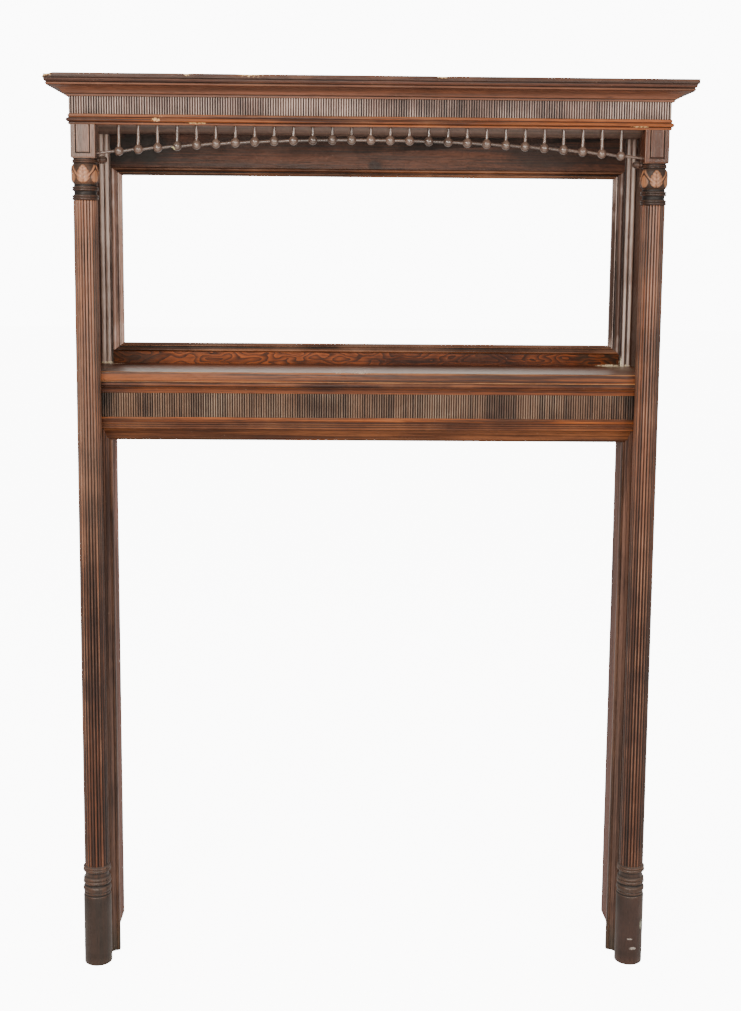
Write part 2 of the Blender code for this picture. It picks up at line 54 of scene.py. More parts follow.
def span(node):
    """x, x, y, y, z, z limits of a CAD node."""
    low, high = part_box(node)
    return low.x, high.x, low.y, high.y, low.z, high.z


_, HALF, FACE_Y, _, FRIEZE_FOOT, CROWN_FOOT = span("upper_frieze")
_, CROWN_HALF, CROWN_Y, _, _, TOP = span("crown_front")
_, _, _, WALL_Y, _, _ = span("crown_return_right")
SOFFIT = span("astragal_front")[4]
_, CASE_INNER, BACK_Y, _, RAIL_FOOT, RAIL_TOP = span("top_rail")
_, FRAME_HALF, _, _, _, BOTTOM_RAIL_TOP = span("bottom_rail")
STILE_INNER = span("reeded_stile_right")[0]
SIDE_Y = span("side_board_right")[2]
_, SHELF_HALF, SHELF_Y, SHELF_BACK, SHELF_FOOT, SHELF_TOP = span("shelf")
_, NOSE_HALF, _, _, BED_FOOT, _ = span("bed_moulding")
_, _, LINTEL_Y, LINTEL_BACK, LOWER_REED_FOOT, LOWER_REED_TOP = span("lower_frieze")
_, _, _, _, LINTEL_FOOT, LINTEL_TOP = span("lintel_board")
OPENING_HALF, LEG_INNER, _, _, _, _ = span("opening_moulding_right")
OPENING_TOP = span("opening_moulding_top")[4]
BOARD = LINTEL_BACK - LINTEL_Y
MIRROR_HALF = span("mirror_moulding_right")[0]
MIRROR_FOOT = span("mirror_moulding_bottom")[5]
MIRROR_HEAD = span("mirror_moulding_top")[4]
COLUMN_LOW, COLUMN_HIGH, _, _, _, COLUMN_TOP = span("column_right")
REED_PITCH = 0.00595
REED_DEPTH = 0.0022
BLOCK_WIDTH = 0.058
BLOCK_HEIGHT = 0.079
COLUMN_X = (COLUMN_LOW + COLUMN_HIGH) / 2
COLUMN_Y = FACE_Y + BLOCK_WIDTH / 2
BLOCK_FOOT = COLUMN_TOP - BLOCK_HEIGHT


# ---------------------------------------------------------------- shapes

def arc(centre, radii, start, end, steps):
    """Points centre + (rx cos a, rz sin a) for angles a from start to end, in degrees."""
    a = np.radians(np.linspace(start, end, steps + 1))
    return np.column_stack([centre[0] + radii[0] * np.cos(a), centre[1] + radii[1] * np.sin(a)]).tolist()


def rounded(outline, radius=0.0009, steps=3):
    """Closed outline with soft corners.

    Corner P becomes (1-t)(1-t) A + 2t(1-t) P + t t B, with A and B on its two sides, a radius
    away from P or 0.42 of a short side.
    """
    p = np.array(outline, float)
    before = np.roll(p, 1, 0) - p
    after = np.roll(p, -1, 0) - p
    near = np.linalg.norm(before, axis=1, keepdims=True)
    far = np.linalg.norm(after, axis=1, keepdims=True)
    a = p + before / near * np.minimum(radius, 0.42 * near)
    b = p + after / far * np.minimum(radius, 0.42 * far)
    t = np.linspace(0, 1, steps + 1)[None, :, None]
    curve = (1 - t) ** 2 * a[:, None] + 2 * t * (1 - t) * p[:, None] + t ** 2 * b[:, None]
    return curve.reshape(-1, 2)


def ridges(section, reach=0.002):
    """+1 on a section's ridges and -1 in its hollows.

    It is the distance from the section to itself after a Gaussian blur along its length,
    measured outwards and divided by a quarter of the blur's reach.
    """
    ahead = np.roll(section, -1, 0) - section
    length = np.linalg.norm(ahead, axis=1)
    place = np.concatenate([[0], np.cumsum(length)[:-1]])
    apart = np.abs(place[:, None] - place[None, :])
    apart = np.minimum(apart, length.sum() - apart)
    weight = np.exp(-(apart / reach) ** 2) * (length + np.roll(length, 1))[None, :]
    blurred = weight @ section / weight.sum(1, keepdims=True)
    along = np.roll(section, -1, 0) - np.roll(section, 1, 0)
    outward = np.column_stack([along[:, 1], -along[:, 0]])
    outward /= np.linalg.norm(outward, axis=1, keepdims=True) + 1e-12
    turn = np.sum(section[:, 0] * np.roll(section[:, 1], -1) - np.roll(section[:, 0], -1) * section[:, 1])
    rise = ((section - blurred) * outward).sum(1) * np.sign(turn)
    return np.clip(rise / (0.25 * reach), -1, 1)


def waver(a, b, seed):
    """Slow unevenness from -1 to 1: a sum of sines of both parameters with seeded phases."""
    rng = np.random.default_rng(seed)
    total = 0
    for k in range(4):
        p, q, phase = rng.uniform(2, 9) * (k + 1), rng.uniform(-3, 3) * (k + 1), rng.uniform(0, 6.28)
        total = total + np.sin(p * a + q * b + phase) / (k + 1)
    return total / 2.1


def knock(points, places):
    """Chips: a point whose distance d from a place, in parts of the place's three radii, is
    under 1 moves by (1 - d d) of the push."""
    bare = np.zeros(points.shape[:-1])
    for place, radii, push in places:
        d = np.linalg.norm((points - np.array(place)) / np.array(radii), axis=-1)
        fall = np.clip(1 - d ** 2, 0, 1)
        points = points + fall[..., None] * np.array(push)
        bare = np.maximum(bare, np.sqrt(fall))
    return points, bare


def stack(rings, worn=0.0, bare=0.0):
    """Closed skin over a stack of closed rings (m, n, 3): quads between neighbours, a cap at
    each end, turned so that it encloses a positive volume."""
    m, n = rings.shape[:2]
    index = np.arange(m * n).reshape(m, n)
    right = np.roll(index, -1, 1)
    quads = np.stack([index[:-1], right[:-1], right[1:], index[1:]], -1).reshape(-1, 4)
    points = rings.reshape(-1, 3)
    q = (points - points.mean(0))[quads]
    volume = np.einsum("ij,ij->", q[:, 0], np.cross(q[:, 1], q[:, 2]) + np.cross(q[:, 2], q[:, 3]))
    caps = [index[0][::-1], index[-1]]
    if volume < 0:
        quads = quads[:, ::-1]
        caps = [cap[::-1] for cap in caps]
    faces = quads.tolist() + [cap.tolist() for cap in caps]
    worn = np.broadcast_to(worn, (m, n)).ravel()
    bare = np.broadcast_to(bare, (m, n)).ravel()
    return points, faces, worn, bare


def link(made):
    bpy.context.scene.collection.objects.link(made)


def piece(name, parts, finish, *nodes):
    """One object from stacks, in place of CAD nodes."""
    points, faces, worn, bare = [], [], [], []
    count = 0
    for p, f, w, b in parts:
        points.append(p)
        faces += [[i + count for i in face] for face in f]
        worn.append(w)
        bare.append(b)
        count += len(p)
    mesh = bpy.data.meshes.new(name)
    mesh.from_pydata(np.concatenate(points).tolist(), [], faces)
    for key, values in (("worn", worn), ("bare", bare)):
        layer = mesh.attributes.new(key, "FLOAT", "POINT")
        layer.data.foreach_set("value", np.concatenate(values).astype(np.float32))
    mesh.shade_smooth()
    mesh.set_sharp_from_angle(angle=math.radians(38))
    mesh.materials.append(finish)
    thing = bpy.data.objects.new(name, mesh)
    link(thing)
    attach(thing, "root")
    if nodes:
        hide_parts(*nodes)


def carried(section, low, high, along, stations=24, chips=(), uneven=0.00012, seed=1, reach=0.002):
    """A closed section carried straight along one axis, from low to high.

    low and high may differ for each point of the section, which makes a mitre. The section's
    two coordinates are (Y, Z) along x, (X, Z) along y and (X, Y) along z. The surface wavers
    by `uneven` as timber does.
    """
    section = np.asarray(section, float)
    t = np.linspace(0, 1, stations)[:, None]
    low = np.broadcast_to(low, len(section))[None, :]
    high = np.broadcast_to(high, len(section))[None, :]
    run = low + (high - low) * t
    worn = np.broadcast_to(ridges(section, reach), run.shape)
    u = np.broadcast_to(section[:, 0], run.shape)
    v = np.broadcast_to(section[:, 1], run.shape)
    fade = np.clip(np.minimum(t, 1 - t) * 12, 0, 1)
    u = u + uneven * fade * waver(run * 3, v * 40, seed)
    v = v + uneven * fade * waver(run * 3 + 2, u * 40, seed + 7)
    order = {"x": (run, u, v), "y": (u, run, v), "z": (u, v, run)}[along]
    points, bare = knock(np.stack(order, -1), chips)
    return stack(points, worn, bare)


def board(x0, x1, y0, y1, z0, z1, along="z", radius=0.0012, stations=20, seed=3):
    """Board with all its edges eased: a soft rectangle carried along one axis, whose last
    radius at each end draws in by radius - sqrt(radius radius - d d)."""
    a0, a1, b0, b1, low, high = {"x": (y0, y1, z0, z1, x0, x1), "y": (x0, x1, z0, z1, y0, y1),
                                 "z": (x0, x1, y0, y1, z0, z1)}[along]
    section = rounded([(a0, b0), (a1, b0), (a1, b1), (a0, b1)], radius, 4)
    ease = radius * np.array([0, 0.08, 0.3, 0.6, 1.0])
    run = np.concatenate([low + ease, np.linspace(low, high, stations)[1:-1], high - ease[::-1]])
    run = np.sort(run)
    d = np.clip(1 - np.minimum(run - low, high - run) / radius, 0, 1)
    draw = radius * (1 - np.sqrt(1 - d ** 2))
    middle = np.array([(a0 + a1) / 2, (b0 + b1) / 2])
    size = np.array([(a1 - a0) / 2, (b1 - b0) / 2])
    scale = 1 - draw[:, None] / size[None, :]
    uv = middle + (section - middle)[None] * scale[:, None, :]
    uv = uv + 0.0001 * waver(run[:, None, None] * 4, uv * 30, seed)
    u, v, r = uv[..., 0], uv[..., 1], np.broadcast_to(run[:, None], uv.shape[:2])
    order = {"x": (r, u, v), "y": (u, r, v), "z": (u, v, r)}[along]
    worn = np.maximum(ridges(section)[None, :], (d > 0.2)[:, None] * 0.7)
    return stack(np.stack(order, -1), worn)


def reeds(low, high, face, pitch=REED_PITCH, depth=REED_DEPTH, steps=8, seed=5):
    """Row of round reeds from low to high, and its ridges.

    At phase w from -1 to 1 across a reed the surface lies depth (1 - sqrt(1 - w w)) behind
    the face, with each reed's depth and height a little different.
    """
    count = round((high - low) / pitch)
    u = np.linspace(0, count, count * steps + 1)
    w = 2 * (u % 1) - 1
    w[-1] = 1
    rng = np.random.default_rng(seed)
    own = rng.uniform(-1, 1, count + 1)[np.minimum(u.astype(int), count - 1)]
    drop = depth * (1 - np.sqrt(np.clip(1 - w ** 2, 0, 1)))
    drop = drop * (1 + 0.1 * own) + 0.00018 * (own + 1) * (1 - w ** 2)
    x = low + (high - low) * u / count
    return np.column_stack([x, face + drop]), np.clip(1.1 - 2.3 * np.abs(w), -1, 1)


def reeded_board(front, crests, sides, low, high, stations=7, seed=9):
    """Reeded face with a plain back, carried upwards from low to high."""
    section = np.vstack([front, sides])
    worn = np.concatenate([crests, np.full(len(sides), -0.55)])
    in_front = np.concatenate([crests != 0, np.zeros(len(sides))])
    z = np.linspace(low, high, stations)[:, None]
    wave = 0.0001 * waver(section[None, :, 0] * 90, z * 60, seed)
    x = np.broadcast_to(section[:, 0], (stations, len(section)))
    y = section[None, :, 1] + wave * in_front
    return stack(np.stack([x, y, np.broadcast_to(z, x.shape)], -1), worn)


# ---------------------------------------------------------------- finishes

# Dusty grey for faces that look up, which also stands for a painted sheen.
DUST_AND_SHEEN = (0.22, 0.175, 0.15)
FLECK = (0.48, 0.36, 0.27)
BARE_WOOD = (0.66, 0.44, 0.21)
PLASTER = (0.8, 0.72, 0.54)
OLD_PLASTER = (0.74, 0.64, 0.44)
SHADOW = (0.003, 0.002, 0.001)
SMALL_MARK = 0.05


class Nodes:
    """Short words for the shader nodes of one finish."""

    def __init__(self, name):
        self.material = bpy.data.materials.new(name)
        self.material.use_nodes = True
        self.tree = self.material.node_tree
        self.shader = self.tree.nodes["Principled BSDF"]
        self.place = self.add("ShaderNodeTexCoord").outputs["Object"]
        apart = self.add("ShaderNodeSeparateXYZ")
        self.tree.links.new(self.place, apart.inputs[0])
        self.height = apart.outputs[2]

    def add(self, kind, **settings):
        node = self.tree.nodes.new(kind)
        for key, value in settings.items():
            setattr(node, key, value)
        return node

    def put(self, socket, value):
        if isinstance(value, bpy.types.NodeSocket):
            self.tree.links.new(value, socket)
        elif isinstance(value, tuple) and len(value) == 3 and socket.type == "RGBA":
            socket.default_value = (*value, 1)
        else:
            socket.default_value = value

    def mapped(self, scale, shift):
        node = self.add("ShaderNodeMapping")
        self.put(node.inputs["Vector"], self.place)
        node.inputs["Scale"].default_value = scale
        node.inputs["Location"].default_value = shift
        return node.outputs["Vector"]

    def noise(self, scale, shift, detail=4.0, rough=0.55):
        vector = self.mapped(scale, shift)
        node = self.add("ShaderNodeTexNoise")
        self.put(node.inputs["Vector"], vector)
        node.inputs["Scale"].default_value = 1.0
        node.inputs["Detail"].default_value = detail
        node.inputs["Roughness"].default_value = rough
        return node.outputs["Fac"]

    def ramp(self, value, low, high, out_low=0.0, out_high=1.0):
        node = self.add("ShaderNodeMapRange")
        self.put(node.inputs["Value"], value)
        limits = {"From Min": low, "From Max": high, "To Min": out_low, "To Max": out_high}
        for key, number in limits.items():
            node.inputs[key].default_value = number
        return node.outputs["Result"]

    def maths(self, operation, a, b=0.0):
        node = self.add("ShaderNodeMath", operation=operation)
        self.put(node.inputs[0], a)
        self.put(node.inputs[1], b)
        return node.outputs[0]

    def mix(self, share, a, b):
        node = self.add("ShaderNodeMix", data_type="RGBA")
        self.put(node.inputs["Factor"], share)
        self.put(node.inputs["A"], a)
        self.put(node.inputs["B"], b)
        return node.outputs["Result"]

    def attribute(self, name):
        return self.add("ShaderNodeAttribute", attribute_name=name).outputs["Fac"]


def oak(name, along="x", dark=(0.03, 0.008, 0.003), light=(0.15, 0.04, 0.012), crest=(0.26, 0.09, 0.034),
        hollow=(0.003, 0.0015, 0.001), dust_and_sheen_amount=0.35, rough=0.4, figure=0.0, streak=0.5, flecks=0.25,
        crest_share=0.45, shift=(0, 0, 0), level=0.26, bands=(), marks=()):
    """Dark stained oak.

    Fibres are noise stretched along the grain, pores are short dark streaks, and the figure
    is a smooth noise cut into contours. Ridges are rubbed lighter and also carry a painted
    highlight, hollows keep dark wax and dirt and also a painted shade, and faces that look
    up hold a greyish dusty colour that is also a painted sheen. Bands (low, high, softness,
    share, tint) colour heights, and marks (place, radii, share, tint) are blots with ragged
    edges; some bands and marks paint light and shade, as said where they are given.
    """
    n = Nodes(name)
    axis = "xyz".index(along)

    def stretched(run, cross):
        return tuple(run if i == axis else cross for i in range(3))

    fibre = n.noise(stretched(2.2, 170.0), shift, 7.0, 0.62)
    pores = n.noise(stretched(26.0, 1100.0), shift, 3.0, 0.5)
    tone = n.noise(stretched(1.6, 14.0), shift, 3.0)
    patch = n.noise((9.0, 9.0, 9.0), shift)
    share = n.maths("ADD", n.ramp(fibre, 0.36, 0.64, -streak, streak), n.ramp(tone, 0.36, 0.64, 0.0, 1.0))
    colour = n.mix(share, dark, light)
    if figure:
        field = n.noise(stretched(10.0, 26.0), shift, 1.5)
        flame = n.ramp(n.maths("FRACT", n.maths("MULTIPLY", field, 11.0)), 0.15, 0.9, 0.0, figure)
        colour = n.mix(flame, colour, tuple(0.3 * c for c in dark))
    for low, high, soft, most, tint in bands:
        rise = n.ramp(n.height, low - soft, low, 0.0, most)
        within = n.maths("MULTIPLY", rise, n.ramp(n.height, high, high + soft, 1.0, 0.0))
        colour = n.mix(within, colour, tint)
    pore = n.ramp(pores, 0.56, 0.68, 0.0, 0.75)
    colour = n.mix(pore, colour, tuple(0.35 * c for c in dark))
    worn = n.attribute("worn")
    # Hollows take the hollow colour, which is dark wax and dirt and also a painted shade.
    grime_and_shade = n.maths("ADD", worn, n.ramp(patch, 0.3, 0.7, -0.25, 0.25))
    grime_and_shade = n.ramp(grime_and_shade, -0.1, -0.85, 0.0, 0.92)
    colour = n.mix(grime_and_shade, colour, hollow)
    # Ridges take the crest colour: rubbed wear and also a painted highlight.
    rub_and_highlight = n.maths("ADD", worn, n.ramp(patch, 0.3, 0.7, -0.55, 0.25))
    rub_and_highlight = n.ramp(rub_and_highlight, 0.3, 0.95, 0.0, crest_share)
    rub_and_highlight = n.maths("MULTIPLY", rub_and_highlight, n.ramp(fibre, 0.25, 0.6, 0.35, 1.0))
    colour = n.mix(rub_and_highlight, colour, crest)
    # Faces that look up take a dusty grey that is also a painted sheen.
    up = n.add("ShaderNodeSeparateXYZ")
    n.put(up.inputs[0], n.add("ShaderNodeNewGeometry").outputs["Normal"])
    dust_and_sheen = n.maths("MULTIPLY", n.ramp(up.outputs[2], 0.25, 0.95),
                   n.ramp(patch, 0.3, 0.7, 0.35 * dust_and_sheen_amount, dust_and_sheen_amount))
    colour = n.mix(dust_and_sheen, colour, DUST_AND_SHEEN)
    spots = n.noise((210.0, 210.0, 130.0), shift, 2.0)
    spot = n.ramp(spots, 0.735, 0.775, 0.0, flecks)
    colour = n.mix(spot, colour, FLECK)
    ragged = n.noise((260.0, 260.0, 260.0), shift, 5.0)
    chipped = n.maths("ADD", n.attribute("bare"), n.ramp(ragged, 0.35, 0.65, -0.55, 0.45))
    colour = n.mix(n.ramp(chipped, 0.6, 0.8, 0.0, 0.9), colour, BARE_WOOD)
    for place, radii, most, tint in marks:
        blot = n.add("ShaderNodeTexGradient", gradient_type="SPHERICAL")
        centred = tuple(-c / r for c, r in zip(place, radii))
        n.put(blot.inputs[0], n.mapped(tuple(1 / r for r in radii), centred))
        torn = n.ramp(ragged if max(radii) < SMALL_MARK else patch, 0.35, 0.65, 0.3, 1.7)
        edge = n.maths("MULTIPLY", blot.outputs["Fac"], torn)
        colour = n.mix(n.ramp(edge, 0.15, 0.55, 0.0, most), colour, tint)
    n.put(n.shader.inputs["Base Color"], colour)
    shine = n.maths("ADD", n.ramp(fibre, 0.3, 0.7, rough - 0.06, rough + 0.1),
                    n.maths("MULTIPLY", dust_and_sheen, 0.35))
    shine = n.maths("ADD", shine, n.maths("MULTIPLY", grime_and_shade, 0.25))
    n.put(n.shader.inputs["Roughness"], shine)
    n.shader.inputs["Specular IOR Level"].default_value = level
    bump = n.add("ShaderNodeBump")
    bump.inputs["Strength"].default_value = 0.35
    bump.inputs["Distance"].default_value = 0.0005
    height = n.maths("SUBTRACT", n.maths("MULTIPLY", fibre, 0.6), n.maths("MULTIPLY", pore, 0.8))
    n.put(bump.inputs["Height"], height)
    n.put(n.shader.inputs["Normal"], bump.outputs["Normal"])
    return n.material


# ---------------------------------------------------------------- cornice

def crown_section():
    """Crown as (projection, height): fascia, reverse curve, bead, large cove and fillet."""
    p, h = CROWN_HALF - HALF, TOP - CROWN_FOOT
    shape = [(1.0, 0.0), (1.0, 0.215), (0.935, 0.235)] + arc((0.868, 0.235), (0.06, 0.165), 0, 84, 6)
    shape += [(0.8, 0.405)] + arc((0.8, 0.485), (0.062, 0.06), -80, 70, 8)
    shape += [(0.8, 0.56)] + arc((0.86, 0.9), (0.62, 0.335), 268, 186, 14)
    shape += [(0.2, 0.885), (0.125, 0.89), (0.115, 0.905), (0.115, 1.0)]
    points = [(p * a, TOP - h * b) for a, b in shape]
    return rounded([(-BOARD, TOP)] + points + [(-BOARD, CROWN_FOOT)], 0.0007, 2)


def astragal_section():
    """Astragal as (projection, height): fillet, quirk, half-round bead, quirk, fillet."""
    h = FRIEZE_FOOT - SOFFIT
    shape = [(0.001, 0.01), (0.002, 0.06), (0.002, 0.28), (0.0008, 0.33)]
    shape += arc((0.0013, 0.57), (0.0048, 0.0048 / h), -84, 84, 12)
    shape += [(0.0004, 0.8), (0.0016, 0.84), (0.0016, 1.0)]
    points = [(a, FRIEZE_FOOT - h * b) for a, b in shape]
    return rounded([(-BOARD, points[0][1])] + points + [(-BOARD, SOFFIT)], 0.0005, 2)


def case_moulding(name, profile, finish, side_finish, chips):
    """Front length and two returns of one moulding, mitred at the front corners."""
    p, z = profile.T
    reach = HALF + p - GAP / 2
    front = carried(np.column_stack([FACE_Y - p, z]), -reach, reach, "x", 420, chips, seed=11)
    piece(name + "_front", [front], finish, name + "_front")
    for side, sign in SIDES:
        section = np.column_stack([sign * (HALF + p), z])
        run = carried(section, FACE_Y - p + GAP / 2, WALL_Y, "y", 90, chips, seed=13 + sign)
        piece(f"{name}_return_{side}", [run], side_finish, f"{name}_return_{side}")


def make_cornice():
    dark = dict(dark=(0.02, 0.006, 0.003), light=(0.105, 0.029, 0.01))
    crown_chips = [((-CROWN_HALF, CROWN_Y, TOP), (0.026, 0.026, 0.012), (0.005, 0.005, -0.003)),
                   ((-0.431, CROWN_Y, TOP), (0.01, 0.006, 0.0024), (0, 0.0012, -0.0008)),
                   ((-0.285, CROWN_Y, TOP), (0.036, 0.006, 0.0026), (0, 0.0012, -0.0008)),
                   ((0.165, CROWN_Y, TOP), (0.022, 0.006, 0.0022), (0, 0.001, -0.0008))]
    # The bands make the crown darker above its lower cove, darkest on the top fascia, and lighter on the
    # lower cove: painted shade above and painted light from below.
    crown_oak = oak("crown_oak", "x", **dark, crest=(0.24, 0.11, 0.058), streak=1.0,
                    bands=[(CROWN_FOOT + 0.028, 3, 0.004, 0.45, (0.034, 0.017, 0.012)),
                           (TOP - 0.011, 3, 0.001, 0.5, (0.026, 0.012, 0.008)),
                           (-1, CROWN_FOOT + 0.026, 0.002, 0.4, (0.2, 0.09, 0.055))])
    case_moulding("crown", crown_section(), crown_oak, oak("crown_end_oak", "y", **dark), crown_chips)
    bead_chips = [((-0.508, FACE_Y - 0.005, FRIEZE_FOOT - 0.012), (0.012, 0.008, 0.006), (0, 0.003, 0)),
                  ((-0.498, FACE_Y - 0.005, FRIEZE_FOOT - 0.004), (0.007, 0.008, 0.004), (0, 0.002, 0)),
                  ((-0.415, FACE_Y - 0.002, SOFFIT + 0.0045), (0.034, 0.004, 0.0016), (0, 0.0006, 0)),
                  ((0.64, FACE_Y - 0.003, SOFFIT + 0.006), (0.026, 0.006, 0.0016), (0, 0.0008, 0))]
    case_moulding("astragal", astragal_section(),
                  oak("astragal_oak", "x", dark=(0.034, 0.009, 0.003), light=(0.23, 0.064, 0.015),
                      crest=(0.36, 0.13, 0.04), shift=(3, 1, 2), streak=0.8),
                  oak("astragal_end_oak", "y", **dark), bead_chips)
    front, crests = reeds(-HALF, HALF, FACE_Y, seed=21)
    sides = [(HALF, FACE_Y + BOARD), (-HALF, FACE_Y + BOARD)]
    face = reeded_board(front, crests, sides, FRIEZE_FOOT, CROWN_FOOT, 7, 22)
    # The near-white crest colour on these reeds, taken at 0.95, is a painted sheen along their ridges
    # together with wear.
    piece("upper_frieze", [face],
          oak("upper_reed_oak", "z", dark=(0.06, 0.038, 0.032), light=(0.15, 0.092, 0.074),
              crest=(0.6, 0.47, 0.41), crest_share=0.95, rough=0.42, dust_and_sheen_amount=0.5, streak=0.8), "upper_frieze")
    end = oak("case_side_oak", "y", **dark, shift=(1, 4, 2))
    for side, _ in SIDES:
        name = "frieze_return_" + side
        piece(name, [board(*span(name), "y")], end, name)
    top = oak("top_board_oak", "x", dark=(0.04, 0.022, 0.014), light=(0.1, 0.06, 0.04), dust_and_sheen_amount=0.9, rough=0.6)
    soffit = oak("soffit_oak", "x", dark=(0.085, 0.05, 0.038), light=(0.23, 0.145, 0.112), rough=0.5)
    for name, finish, seed in (("cornice_top_board", top, 31), ("soffit_board", soffit, 33)):
        piece(name, [board(*span(name), "x", seed=seed)], finish, name)


# ---------------------------------------------------------------- overmantel back

def frame_section(width):
    """Mirror moulding as (distance from the opening's edge, depth): chamfer, small bead,
    groove and a large bead on the outside."""
    low = BACK_Y + 0.0012
    shape = [(0, WALL_Y), (0, BACK_Y + 0.005), (0.2 * width, BACK_Y - 0.0008)]
    shape += [(0.22 * width, BACK_Y + 0.001)]
    shape += arc((0.29 * width, BACK_Y - 0.0005), (0.055 * width, -0.0026), 170, 10, 6)
    shape += [(0.37 * width, BACK_Y + 0.0022), (0.54 * width, BACK_Y + 0.0022)]
    shape += arc((0.79 * width, low), (0.2 * width, -0.0068), 172, 8, 12)
    shape += [(width, low), (width, WALL_Y)]
    return rounded(shape, 0.0006, 2)


def make_back():
    orange = dict(dark=(0.038, 0.013, 0.006), light=(0.21, 0.078, 0.034), crest=(0.42, 0.21, 0.12))
    # For the mirror's side mouldings: the near-white crest is a painted sheen, and the dark and light colours
    # set below are lit on the left and shaded on the right.
    sheened_brown = dict(crest=(0.78, 0.64, 0.58), hollow=(0.01, 0.006, 0.005), rough=0.28)
    shape = [(FRAME_HALF, RAIL_FOOT), (FRAME_HALF, SOFFIT), (CASE_INNER, SOFFIT), (CASE_INNER, RAIL_TOP)]
    outline = rounded(shape + [(-x, z) for x, z in reversed(shape)], 0.001, 2)
    rail = carried(outline, BACK_Y, WALL_Y, "y", 6, uneven=0.0)
    # The first and last marks are painted shadow at the rail's ends beside the columns, near black at the
    # left end; the middle mark is a dark knot.
    piece("top_rail", [rail],
          oak("top_rail_oak", "x", dark=(0.034, 0.012, 0.006), light=(0.115, 0.04, 0.018), shift=(2, 5, 1),
              figure=0.25, streak=0.7, marks=[
                  ((-0.62, BACK_Y, 2.08), (0.16, 0.1, 0.07), 0.9, (0.004, 0.002, 0.001)),
                  ((0.02, BACK_Y, 2.035), (0.028, 0.1, 0.02), 0.8, (0.008, 0.003, 0.002)),
                  ((0.52, BACK_Y, 2.06), (0.24, 0.1, 0.06), 0.7, (0.016, 0.006, 0.003))]), "top_rail")
    piece("bottom_rail", [board(*span("bottom_rail"), "x", radius=0.0008)],
          oak("bottom_rail_oak", "x", dark=(0.045, 0.011, 0.004), light=(0.28, 0.068, 0.014), figure=0.85,
              shift=(5, 2, 1), streak=0.4, level=0.14, marks=[
                  ((-0.62, BACK_Y, BOTTOM_RAIL_TOP), (0.14, 0.1, 0.08), 0.7, (0.045, 0.026, 0.018)),
                  ((0.62, BACK_Y, BOTTOM_RAIL_TOP), (0.1, 0.1, 0.06), 0.85, (0.02, 0.015, 0.009)),
                  ((0.64, BACK_Y, SHELF_TOP), (0.045, 0.018, 0.006), 0.85, OLD_PLASTER)]), "bottom_rail")
    side_width = FRAME_HALF - MIRROR_HALF
    for name, level, outer, sign in (("top", MIRROR_HEAD, RAIL_FOOT - GAP, 1),
                                     ("bottom", MIRROR_FOOT, BOTTOM_RAIL_TOP + GAP, -1)):
        width = abs(outer - level)
        d, y = frame_section(width).T
        reach = MIRROR_HALF + d * side_width / width - GAP / 2
        section = np.column_stack([y, level + sign * d])
        run = carried(section, -reach, reach, "x", 160, seed=41)
        piece("mirror_moulding_" + name, [run], oak(f"mirror_{name}_oak", "x", **orange, shift=(1, 2, 3)),
              "mirror_moulding_" + name)
    d, y = frame_section(side_width).T
    low = MIRROR_FOOT - d * (MIRROR_FOOT - BOTTOM_RAIL_TOP - GAP) / side_width + GAP / 2
    high = MIRROR_HEAD + d * (RAIL_FOOT - GAP - MIRROR_HEAD) / side_width - GAP / 2
    first, sunk = STILE_INNER + 0.0035, BACK_Y + 0.012
    front, crests = reeds(first, CASE_INNER, BACK_Y, (CASE_INNER - first) / 2, 0.0036, 24, 44)
    for side, sign in SIDES:
        section = np.column_stack([sign * (MIRROR_HALF + d), y])
        # tone paints light: the left moulding's colours are 1.25 times and the right's 0.35 times the base.
        tone = 0.8 - 0.45 * sign
        sheened_brown.update(dark=(0.16 * tone, 0.092 * tone, 0.07 * tone),
                     light=(0.45 * tone, 0.28 * tone, 0.22 * tone))
        piece("mirror_moulding_" + side, [carried(section, low, high, "z", 60, seed=43 + sign)],
              oak(f"mirror_{side}_oak", "z", **sheened_brown, shift=(sign, 2, 3), crest_share=0.9),
              "mirror_moulding_" + side)
        sides = [(sign * x, y) for x, y in ((CASE_INNER, WALL_Y), (STILE_INNER, WALL_Y),
                                            (STILE_INNER, sunk), (first, sunk))]
        # The stiles' reeds take a raised ridge value and a near-white crest, a painted sheen, and the left
        # stile's colours are lighter than the right's: painted light on the left one.
        strip = reeded_board(front * [sign, 1], np.clip(crests + 0.45, -1, 1), sides,
                             SHELF_FOOT, SOFFIT - GAP, 40, 47 + sign)
        piece("reeded_stile_" + side, [strip],
              oak(f"stile_{side}_oak", "z",
                  dark=(0.115 - 0.03 * sign, 0.074 - 0.02 * sign, 0.059 - 0.016 * sign),
                  light=(0.36 - 0.09 * sign, 0.245 - 0.07 * sign, 0.2 - 0.06 * sign),
                  crest=(0.7, 0.58, 0.51), crest_share=0.8,
                  hollow=(0.03, 0.019, 0.014), rough=0.26, shift=(sign, 0, 2), level=0.5,
                  marks=[((sign * 0.667, BACK_Y, SHELF_TOP), (0.045, 0.018, 0.007), 0.85, OLD_PLASTER),
                         ((STILE_INNER, BACK_Y, SHELF_TOP), (0.012, 0.018, 0.034), 0.95, (0.8, 0.72, 0.52))]),
              "reeded_stile_" + side)


# ---------------------------------------------------------------- shelf and lintel

